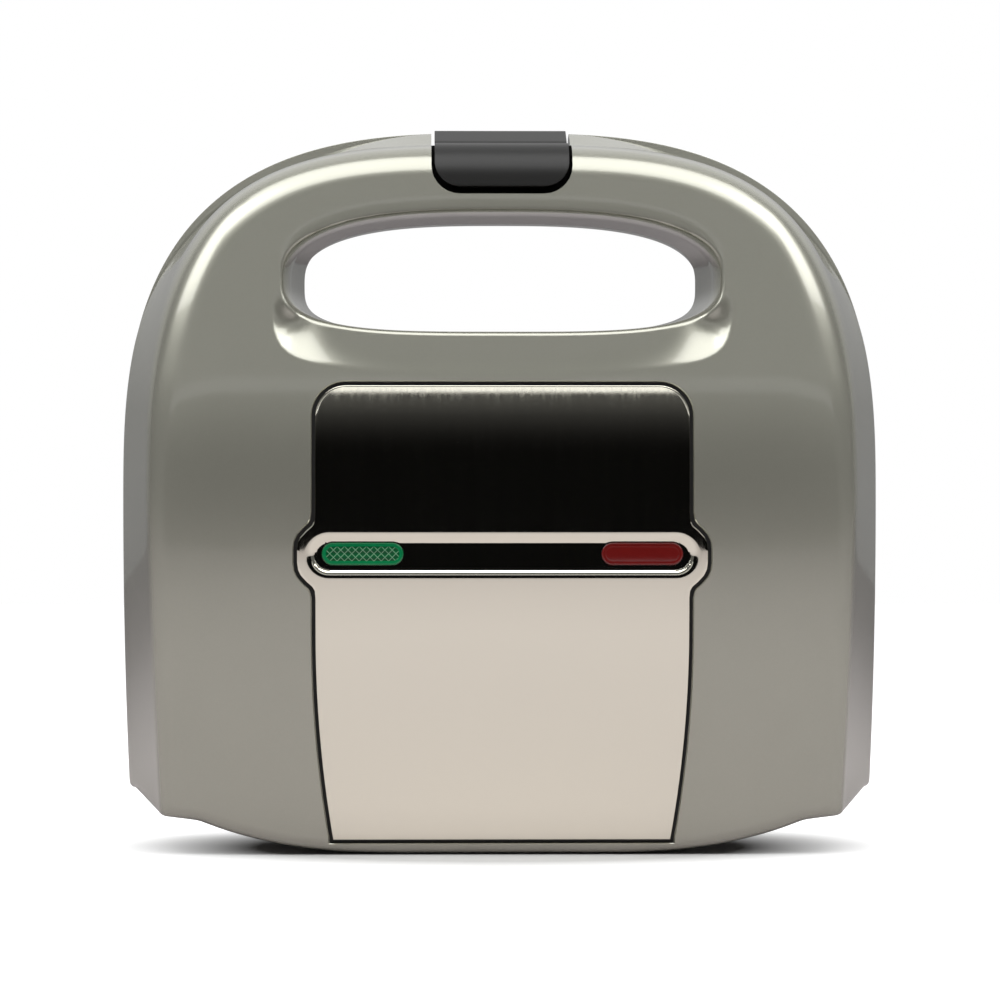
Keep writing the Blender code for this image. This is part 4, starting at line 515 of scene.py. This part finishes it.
# Base cover: the same painted plastic. It is flatter, steps down to a thinner handle half, has seats for four
# rubber feet, four screw wells, a recess for the cord and a shallow bare panel, and stands on its hinged end.


BASE_DEPTH = 41


def back_depth(x, z):
    """Depth of the base's back: flat, with a smooth step up to the handle."""
    return BASE_DEPTH - 20 * smooth_step(z, 142, 178) + 0 * x


def base_profile():
    """Rings from the parting edge down the wall and round the back's edge."""
    base_corner = np.arctan2(101, 9.5 - CENTRE_Z)
    lower = smooth_step(HALF_TURN, CORNER_ANGLE + 0.02, CORNER_ANGLE + 0.12)
    edge = 4 * (1 - lower)
    first = 8 + 16 * lower
    last = R_BASE - edge
    crease = back_depth(*flat(last)) - 8
    first = np.minimum(first, crease)
    radii, depths = [R_PARTING - 0.5, R_PARTING - 0.12], [0.3 + 0 * first, 0.42 + 0 * first]
    for t in np.linspace(0, 1, 10)[1:]:
        radius, depth = spanned(R_PARTING, 0.7 + 0 * first, R_BASE - edge / 4, first, base_corner, t)
        radii.append(radius)
        depths.append(depth)
    for t in np.linspace(0, 1, 14)[1:]:
        radii.append(R_BASE - edge / 4 + (last - R_BASE + edge / 4) * t)
        depths.append(first + (crease - first) * t)
    for t in np.linspace(0, 1, 13)[1:]:
        radius = last - 8 * (1 - np.cos(t * np.pi / 2))
        radii.append(radius)
        depths.append(crease + (back_depth(*flat(radius)) - crease) * np.sin(t * np.pi / 2))
    radii, depths = np.array(radii), np.array(depths)
    radii[2:], depths[2:] = round_off(radii[2:], 3), round_off(depths[2:], 3)
    return radii, depths


radii, depths = base_profile()
BASE_SLOPE = ((4.0, 4.0, 4.0), (0.5, 0.5, 0.5))
BASE_EDGE = ((4.0, 4.0, 4.0), (4.0, 4.0, 4.0))
outside = shell_rings(radii, depths, back_depth, BASE_SLOPE, BASE_EDGE, (0.5, 1.5, 0.4))
inside = shell_rings(radii[inner_rows] - WALL, np.maximum(depths[inner_rows] - WALL, 0.3),
                     lambda x, z: back_depth(x, z) - WALL, BASE_SLOPE, BASE_EDGE, (0.5, 1.5, 0.4),
                     grow=2.5, steps=20, rim_steps=10, wall_steps=3)
base_cover = cover("base_cover", BASE, outside, inside, paint)
BACK = PARTING + BASE_DEPTH
FEET = [(side * 70.0, z) for side in (-1, 1) for z in (26.0, 128.0)]
SCREWS = [(side * x, z) for side in (-1, 1) for x, z in ((104.8, 46.0), (92.0, 160.0))]
tools = hinge_notches()
tools += [block(f"arm_slot_{i}", (x - 5.3, PARTING - 1, HINGE_Z), (x + 5.3, PARTING + 5, 22.8))
          for i, x in enumerate((-80.5, -59.5, 59.5, 80.5))]
tools += [block(f"foot_seat_{i}", (x - 8.3, BACK - 1, z - 8.3), (x + 8.3, BACK + 2, z + 8.3), corner=8.29)
          for i, (x, z) in enumerate(FEET)]
tools += [block(f"screw_well_{i}", (x - 3.3, PARTING + 22, z - 3.3), (x + 3.3, BACK + 2, z + 3.3), corner=3.29)
          for i, (x, z) in enumerate(SCREWS)]
tools.append(block("bare_panel", (-32, BACK - 0.5, 62), (32, BACK + 2, 98), corner=2.0))
tools.append(block("gland_hole", (-4.8, 28.2, 9), (4.8, 37.8, 14), corner=4.79, along=2))
tools.append(block("catch_well", (-21, PARTING - 1, 210.5), (21, PARTING + 14, 240)))
tools.append(block("cord_recess", (-24, PARTING + 25, -2), (24, BACK + 2, 10)))
cut_with(base_cover, *tools)
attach(base_cover, "base")
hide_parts("base_shell")


def speckled(name, dark, light, scale, bump=0.1, **sockets):
    """A finish with one fine noise: it mixes two close colours and gives a slight relief."""
    made, tree, shader, coords = new_material(name, **sockets)
    noise = wire(tree, "ShaderNodeTexNoise", {"Vector": coords}, scale=scale, detail=3.0)
    colour = wire(tree, "ShaderNodeMix", {"Factor": noise.outputs["Fac"]}, data_type="RGBA",
                  A=hex_colour(dark), B=hex_colour(light))
    tree.links.new(colour.outputs["Result"], shader.inputs["Base Color"])
    relief = wire(tree, "ShaderNodeBump", {"Height": noise.outputs["Fac"]}, strength=bump, distance=0.0001)
    tree.links.new(relief.outputs["Normal"], shader.inputs["Normal"])
    return made


# Black moulded rubber of the feet and the bushing: dull, with a fine grain. The same black goes on a thin sheet under
# the trim plate, painted shade that darkens the gap round the plate
rubber = speckled("moulded_rubber", "#141414", "#1c1c1c", 1800.0, 0.3, Roughness=0.75)

# Trim plate: stamped stainless steel 0.8 mm thick, clipped and glued into its seat, with a sunk band for the two
# lenses. It is brushed up and down and then brightened, so it mirrors the studio with faint upright streaks.
steel, tree, shader, coords = new_material("bright_brushed_stainless", Metallic=1.0, Anisotropic=0.5,
                                           Base_Color=hex_colour("#e8e5d6"))
streaks = wire(tree, "ShaderNodeTexNoise", {"Vector": wire(tree, "ShaderNodeMapping", {"Vector": coords},
               scale=(4000.0, 4000.0, 60.0)).outputs["Vector"]}, scale=1.0, detail=4.0, roughness=0.7)
broad = wire(tree, "ShaderNodeTexNoise", {"Vector": wire(tree, "ShaderNodeMapping", {"Vector": coords},
             scale=(900.0, 900.0, 14.0)).outputs["Vector"]}, scale=1.0, detail=2.0)
both = wire(tree, "ShaderNodeMath", {0: streaks.outputs["Fac"], 1: broad.outputs["Fac"]}, operation="MULTIPLY")
sheen = wire(tree, "ShaderNodeMapRange", {"Value": both.outputs["Value"]}, from_min=0.1, from_max=0.5, to_min=0.03,
             to_max=0.09)
tree.links.new(sheen.outputs["Result"], shader.inputs["Roughness"])
grain = wire(tree, "ShaderNodeBump", {"Height": streaks.outputs["Fac"]}, strength=0.06, distance=0.00005)
tree.links.new(grain.outputs["Normal"], shader.inputs["Normal"])

# A thin black sheet on the seat's floor under the trim plate: painted shade for the dark gap round the plate's edge
gap_shade_sheet = plate_body("plate_gap_shade_sheet", ((1.0, -1.6, True), (1.0, -1.32, True)), rubber)
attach(gap_shade_sheet, "lid")
trim_plate = plate_body("steel_trim_plate", ((-0.1, -1.3, True), (0.0, -1.2, True), (0.0, -0.05, True),
                                             (-0.12, 0.2, True), (-0.45, 0.32, True)), steel)
cut_with(trim_plate, *lens_windows())
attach(trim_plate, "lid")
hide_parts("trim_plate")

# Indicator lenses: two moulded acrylic lenses clipped behind the band. The green one has small pyramids in rows
# that scatter its lamp's light, and the red one is smooth.


RIDGE_HALF_STEP = 1.085


def lens(name, middle, material, pyramid=None):
    """A lens as a dome over a stadium: rings shrink from its wall to its middle line. The height is a crown of
    0.5 mm with a quarter-round edge, plus triangular waves along two slanted ways where it has pyramids."""
    turn = np.linspace(0, 2 * np.pi, 240, endpoint=False)
    half_line = 8.7
    reach = np.sign(np.sin(turn)) * np.clip(np.abs(np.sin(turn)) * 40, 0, 1) * half_line
    rows = []
    floor = lid_outer_depth(np.array(abs(middle)), np.array(BAND_Z)) - 1.2
    stations = [(3.4, -3.0), (3.4, 0.0), (3.3, 0.3), (3.1, 0.45)]
    stations += [(r, 0.5) for r in np.linspace(2.9, 0.0, 34)]
    for radius, height in stations:
        x = middle + reach + radius * np.sin(turn)
        z = LENS_Z + radius * np.cos(turn)
        if height == 0.5:
            inner = smooth_step(2.2 - radius, 0, 0.2)
            wave = sum(np.abs(((x + sign * z) / RIDGE_HALF_STEP) % 2 - 1) for sign in (1, -1))
            height = 0.5 + inner * ((0.2 * wave - 0.3) if pyramid else 0.12 * (1 - (radius / 2.9) ** 2))
        rows.append(np.stack([x, PARTING - floor - height + 0 * x, z], axis=1))
    piece = close_ends(add_mesh(name, np.concatenate(rows), grid_faces(len(rows), len(turn)), material, smooth=25))
    if pyramid:
        piece.data.materials.append(pyramid)
        for face in piece.data.polygons:
            centre = face.center * 1000
            inward = np.hypot(max(abs(centre.x - middle) - half_line, 0), centre.z - LENS_Z) < 2.15
            face.material_index = int(inward and PARTING - centre.y > floor)
    return piece


def lens_material(name, code, clear, with_ridge_highlights=False):
    """Moulded acrylic: deep colour, glossy, mottled at random between two close shades. With ridge highlights, lines
    2.17 mm apart along two diagonals are mixed up to halfway to pale green: a painted highlight where the pyramids'
    ridges catch the light. The distance to the nearest line comes from a ping-pong of x + z and x - z."""
    made, tree, shader, coords = new_material(name, IOR=1.49, Roughness=0.12, Transmission_Weight=clear)
    mottle = wire(tree, "ShaderNodeTexNoise", {"Vector": coords}, scale=300.0, detail=2.0)
    colour = wire(tree, "ShaderNodeMix", {"Factor": mottle.outputs["Fac"]}, data_type="RGBA",
                  A=hex_colour(code[0]), B=hex_colour(code[1]))
    final = colour.outputs["Result"]
    if with_ridge_highlights:
        shader.inputs["Specular IOR Level"].default_value = 0.2
        place = wire(tree, "ShaderNodeSeparateXYZ", {"Vector": coords})
        waves = []
        for operation in ("ADD", "SUBTRACT"):
            mixed = wire(tree, "ShaderNodeMath", {0: place.outputs["X"], 1: place.outputs["Z"]}, operation=operation)
            wave = wire(tree, "ShaderNodeMath", {0: mixed.outputs["Value"]}, operation="PINGPONG")
            wave.inputs[1].default_value = RIDGE_HALF_STEP * MM
            waves.append(wave)
        nearest = wire(tree, "ShaderNodeMath", {0: waves[0].outputs["Value"], 1: waves[1].outputs["Value"]},
                       operation="MINIMUM")
        line = wire(tree, "ShaderNodeMapRange", {"Value": nearest.outputs["Value"]}, from_min=0.00006, from_max=0.00022,
                    to_min=0.5, to_max=0.0)
        # Painted highlight: pale green lines along the pyramids' ridges, where they catch the light
        painted_ridge_highlight = wire(tree, "ShaderNodeMix", {"Factor": line.outputs["Result"], "A": final}, data_type="RGBA",
                      B=hex_colour("#a5dcb4"))
        final = painted_ridge_highlight.outputs["Result"]
    tree.links.new(final, shader.inputs["Base Color"])
    return made


green_rim = lens_material("green_acrylic", ("#067a45", "#0b8850"), 0.25)
green_pyramids = lens_material("green_acrylic_pyramids", ("#04502a", "#075f34"), 0.25, True)
green_lens = lens("green_lens_moulding", -LENS_X, green_rim, green_pyramids)
red_lens = lens("red_lens_moulding", LENS_X, lens_material("red_acrylic", ("#641514", "#701917"), 0.15))
for piece, node in ((green_lens, "green_lens"), (red_lens, "red_lens")):
    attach(piece, "lid")
    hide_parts(node)

# Latch: one moulding of matte black nylon. Its tongue lies over the lid's half of the handle, its apron reaches
# across the parting line, and the thumb rocks it on its pin.
black, tree, shader, coords = new_material("grained_black_nylon", Roughness=0.4, Specular_IOR_Level=0.35)
fine = wire(tree, "ShaderNodeTexNoise", {"Vector": coords}, scale=2200.0, detail=3.0)
tone = wire(tree, "ShaderNodeMix", {"Factor": fine.outputs["Fac"]}, data_type="RGBA",
            A=hex_colour("#121211"), B=hex_colour("#1a1a19"))
tree.links.new(tone.outputs["Result"], shader.inputs["Base Color"])
pebble = wire(tree, "ShaderNodeBump", {"Height": fine.outputs["Fac"]}, strength=0.2, distance=0.0001)
tree.links.new(pebble.outputs["Normal"], shader.inputs["Normal"])


TONGUE_FOOT, TONGUE_CORNER, TONGUE_HALF_WIDTH = 199.1, 7.5, 20


def latch_skin(offset):
    """The tongue's line at the handle's middle, as (depth, height), moved outwards by an offset and rounded."""
    shoulder_z = np.linspace(211.9, TONGUE_FOOT, 24)
    shoulder = np.stack([lid_outer_depth(0 * shoulder_z, shoulder_z), shoulder_z], axis=1)
    line = np.concatenate([np.linspace((-11, 218.2), (0, 218.2), 12), np.linspace((0, 218.2), (14, 213.3), 16)[1:],
                           np.linspace((14, 213.3), shoulder[0], 5)[1:], shoulder[1:]])
    line = round_off(line, 2)
    ridge = np.exp(-(np.hypot(line[:, 0] - 14, line[:, 1] - 213.3) / 0.8) ** 2)
    step = np.gradient(line, axis=0)
    step /= np.linalg.norm(step, axis=1)[:, None]
    return line + (offset - 1.0 * ridge)[:, None] * np.stack([-step[:, 1], step[:, 0]], axis=1)


def latch_shell(name, material):
    """The tongue: outer and inner skins carried along X, its width drawn in by quarter circles at the lower end."""
    outer, inner = latch_skin(0.6), latch_skin(-1.8)
    share = np.concatenate([[-1, -0.985], np.linspace(-0.95, 0.95, 40), [0.985, 1]])
    sheets = []
    for line in (outer, inner):
        over = np.clip(TONGUE_FOOT + TONGUE_CORNER - np.maximum(line[:, 1], TONGUE_FOOT), 0, TONGUE_CORNER)
        half = TONGUE_HALF_WIDTH - TONGUE_CORNER + np.sqrt(np.clip(TONGUE_CORNER**2 - over**2, 0, None))
        x = half[:, None] * share
        depth = np.repeat(line[:, :1], len(share), axis=1)
        z = np.repeat(line[:, 1:], len(share), axis=1)
        sheets.append(np.stack([x, PARTING - depth, z], axis=2).reshape(-1, 3))
    rows, columns = len(outer), len(share)
    count = rows * columns
    around = rim_of(rows, columns)
    following = np.roll(around, -1)
    sides = np.stack([around, following, following + count, around + count], axis=1)
    skin = grid_faces(rows, columns, close_columns=False)
    faces = np.concatenate([skin, skin + count, sides])
    piece = add_mesh(name, np.concatenate(sheets), faces, material)
    bevel = piece.modifiers.new("edges", "BEVEL")
    bevel.width, bevel.segments, bevel.limit_method, bevel.angle_limit = 0.0005, 3, "ANGLE", np.radians(45)
    return piece


def join_pieces(name, pieces):
    """One object from several, their modifiers applied."""
    bpy.context.view_layer.update()
    merged = bmesh.new()
    for piece in pieces:
        shape = bpy.data.meshes.new_from_object(piece.evaluated_get(bpy.context.evaluated_depsgraph_get()))
        merged.from_mesh(shape)
    data = bpy.data.meshes.new(name)
    merged.to_mesh(data)
    merged.free()
    for material in pieces[0].data.materials:
        data.materials.append(material)
    data.shade_smooth()
    data.set_sharp_from_angle(angle=np.radians(35))
    made = bpy.data.objects.new(name, data)
    bpy.context.scene.collection.objects.link(made)
    for piece in pieces:
        bpy.data.objects.remove(piece)
    return made


tongue = latch_shell("tongue", black)
hook = block("hook", (-20, PARTING + 8, 215.5), (20, PARTING + 11, 217.5), black)
ears = [block(f"ear_{i}", (min(x, x + side * 2.4), PARTING - 15.4, 204.1),
              (max(x, x + side * 2.4), PARTING - 8.6, 210.9), black, corner=3.39, along=0)
        for i, (side, x) in enumerate(((-1, -11), (1, 11)))]
latch = join_pieces("latch_tongue", [tongue, hook, *ears])
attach(latch, "latch")
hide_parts("latch")


# Inner pieces keep their CAD shapes and get their real finishes: glass-filled black liners, zinc-plated pins,
# screws and trays, blued heater sheaths, unglazed ceramic, clear lamp glass, rubber and non-stick coating

liner = speckled("glass_filled_nylon_liner", "#232322", "#2d2c2b", 1200.0, 0.25, Roughness=0.55)
non_stick = speckled("non_stick_on_cast_aluminium", "#151516", "#222223", 1500.0, 0.15, Roughness=0.38)
zinc = speckled("bright_zinc_plate", "#b9bcc0", "#cfd1d3", 900.0, 0.05, Metallic=1.0, Roughness=0.3)
sheath = speckled("heat_blued_sheath", "#5a5048", "#7a6a58", 200.0, 0.05, Metallic=1.0, Roughness=0.45)
ceramic = speckled("unglazed_steatite", "#d9d3c4", "#e6e1d5", 700.0, 0.15, Roughness=0.7)
glass = speckled("lamp_glass", "#f2ece2", "#fbf7f0", 100.0, 0.0, Roughness=0.05, Transmission_Weight=1.0, IOR=1.5)
finishes = {"lid_frame": liner, "base_frame": liner, "upper_plate": non_stick, "lower_plate": non_stick,
            "upper_heater": sheath, "lower_heater": sheath, "thermostat": ceramic, "thermal_fuse": ceramic,
            "terminal_block": ceramic, "green_lamp": glass, "red_lamp": glass, "lamp_carrier": black,
            "cord_gland": rubber}
for name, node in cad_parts.items():
    finish = finishes.get(name, rubber if name.startswith("foot") else zinc)
    for slot in node.material_slots:
        slot.material = finish

# Studio: a pale floor that ends in front of the camera, dark cards that only gloss can see, soft lamps and the
# camera at the photograph's place


def sheet(name, corners, material):
    """A flat stage piece from its corners in metres."""
    data = bpy.data.meshes.new(name)
    data.from_pydata([tuple(c) for c in corners], [], [(0, 1, 2, 3)])
    data.materials.append(material)
    piece = bpy.data.objects.new(name, data)
    bpy.context.scene.collection.objects.link(piece)
    return piece


def stage_material(name, glow):
    """A stage surface that only glows, or, with a glow of 0, brightens as the cube of its height up to 0.07."""
    made, tree, shader, coords = new_material(name, Roughness=0.9, Specular_IOR_Level=0.0, Emission_Strength=glow,
                                              Base_Color=hex_colour("#000000"), Emission_Color=hex_colour("#ffffff"))
    if not glow:
        height = wire(tree, "ShaderNodeSeparateXYZ", {"Vector": coords}).outputs["Z"]
        share = wire(tree, "ShaderNodeMapRange", {"Value": height}, from_min=0.25, from_max=0.455, to_min=0.1)
        cube = wire(tree, "ShaderNodeMath", {0: share.outputs["Result"]}, operation="POWER")
        cube.inputs[1].default_value = 3.0
        level = wire(tree, "ShaderNodeMapRange", {"Value": cube.outputs["Value"]}, to_min=0.003, to_max=0.07)
        tree.links.new(level.outputs["Result"], shader.inputs["Emission Strength"])
    return made


# The sweep: the camera sees it burn out to white, with a glow that grows outside an oval that reaches 74 mm along X
# and 53 mm along Y, so that only the contact shadow shows. Reflections see it as a pale pinkish grey, darker far away
floor_white, tree, shader, coords = new_material("studio_sweep", Roughness=0.9, Emission_Color=hex_colour("#ffffff"))
direct = wire(tree, "ShaderNodeLightPath").outputs["Is Camera Ray"]
away = wire(tree, "ShaderNodeVectorMath", {"Vector": coords}, operation="LENGTH")
distant = wire(tree, "ShaderNodeMapRange", {"Value": away.outputs["Value"]}, from_min=0.3, from_max=1.2)
pale = wire(tree, "ShaderNodeMix", {"Factor": distant.outputs["Result"]}, data_type="RGBA",
            A=hex_colour("#bcb6b8"), B=hex_colour("#9a9496"))
tint = wire(tree, "ShaderNodeMix", {"Factor": direct, "A": pale.outputs["Result"]}, data_type="RGBA",
            B=hex_colour("#b4b4b4"))
tree.links.new(tint.outputs["Result"], shader.inputs["Base Color"])
oval = wire(tree, "ShaderNodeMapping", {"Vector": coords}, scale=(11.5, 16.0, 0.0))
spread = wire(tree, "ShaderNodeVectorMath", {"Vector": oval.outputs["Vector"]}, operation="LENGTH")
far = wire(tree, "ShaderNodeMapRange", {"Value": spread.outputs["Value"]}, from_min=0.85, from_max=1.5, to_max=0.9)
glow = wire(tree, "ShaderNodeMath", {0: far.outputs["Result"], 1: direct}, operation="MULTIPLY")
tree.links.new(glow.outputs["Value"], shader.inputs["Emission Strength"])
sheet("studio_floor", ((-3, -0.95, 0), (3, -0.95, 0), (3, 3, 0), (-3, 3, 0)), floor_white)
for name, low, high, glow in (("black_card", -0.3, 0.49, 0.0), ("bright_strip", 0.49, 0.55, 1.2),
                              ("dim_wall", 0.55, 0.9, 0.3)):
    card = sheet(name, ((-1.6, -1.6, low), (1.6, -1.6, low), (1.6, -1.6, high), (-1.6, -1.6, high)),
                 stage_material(name, glow))
    card.visible_camera = False
    card.visible_diffuse = False
    card.visible_shadow = False


def lamp(name, place, aim, width, height, power):
    """A soft rectangular lamp, aimed at a point."""
    data = bpy.data.lights.new(name, "AREA")
    data.shape, data.size, data.size_y, data.energy = "RECTANGLE", width, height, power
    made = bpy.data.objects.new(name, data)
    made.location = place
    made.rotation_euler = (Vector(aim) - Vector(place)).to_track_quat("-Z", "Y").to_euler()
    bpy.context.scene.collection.objects.link(made)
    return made


lamp("top_box", (0.0, -0.5, 1.4), (0, 0, 0.1), 1.8, 1.3, 21.0)
lamp("left_box", (-1.05, -0.55, 1.1), (0, 0, 0.1), 0.8, 0.95, 9.0)
lamp("right_box", (1.05, -0.55, 1.1), (0, 0, 0.1), 0.8, 0.95, 9.0)

world = bpy.data.worlds.new("white_room")
bpy.context.scene.world = world
world.use_nodes = True
tree = world.node_tree
tree.nodes.clear()
paths = wire(tree, "ShaderNodeLightPath")
seen = wire(tree, "ShaderNodeMath", {0: paths.outputs["Is Camera Ray"], 1: paths.outputs["Is Transmission Ray"]},
            operation="MAXIMUM")
way = wire(tree, "ShaderNodeSeparateXYZ", {"Vector": wire(tree, "ShaderNodeTexCoord").outputs["Generated"]})
high = wire(tree, "ShaderNodeMapRange", {"Value": way.outputs["Z"]}, from_min=0.05, from_max=0.5, to_min=0.25,
            to_max=0.8)
behind = wire(tree, "ShaderNodeMapRange", {"Value": way.outputs["Y"], "To Max": high.outputs["Result"]},
              from_min=0.1, from_max=0.45, to_min=0.12)
other = wire(tree, "ShaderNodeMapRange", {"Value": paths.outputs["Is Glossy Ray"], "To Max": behind.outputs["Result"]},
             to_min=0.3)
strength = wire(tree, "ShaderNodeMapRange", {"Value": seen.outputs["Value"], "To Min": other.outputs["Result"]},
                to_max=1.0)
room = wire(tree, "ShaderNodeBackground", {"Strength": strength.outputs["Result"]}, color=(1, 1, 1, 1))
wire(tree, "ShaderNodeOutputWorld", {"Surface": room.outputs["Background"]})

# The photograph's half frame of 500 pixels at 0.3057 mm each, seen from 1.3 m, gives the lens
SENSOR, HALF_FRAME, PIXEL, DISTANCE = 36.0, 500, 0.3057, 1300.2
camera_data = bpy.data.cameras.new("camera")
camera_data.sensor_width = SENSOR
camera_data.lens = SENSOR / 2 / (HALF_FRAME * PIXEL / DISTANCE)
camera = bpy.data.objects.new("camera", camera_data)
camera.location = (-0.022, 0.00115 - 1.3, 0.1059)
camera.rotation_euler = (Vector((0, 0.00115, 0.1059)) - camera.location).to_track_quat("-Z", "Y").to_euler()
bpy.context.scene.collection.objects.link(camera)
bpy.context.scene.camera = camera
bpy.context.scene.view_settings.view_transform = "Standard"
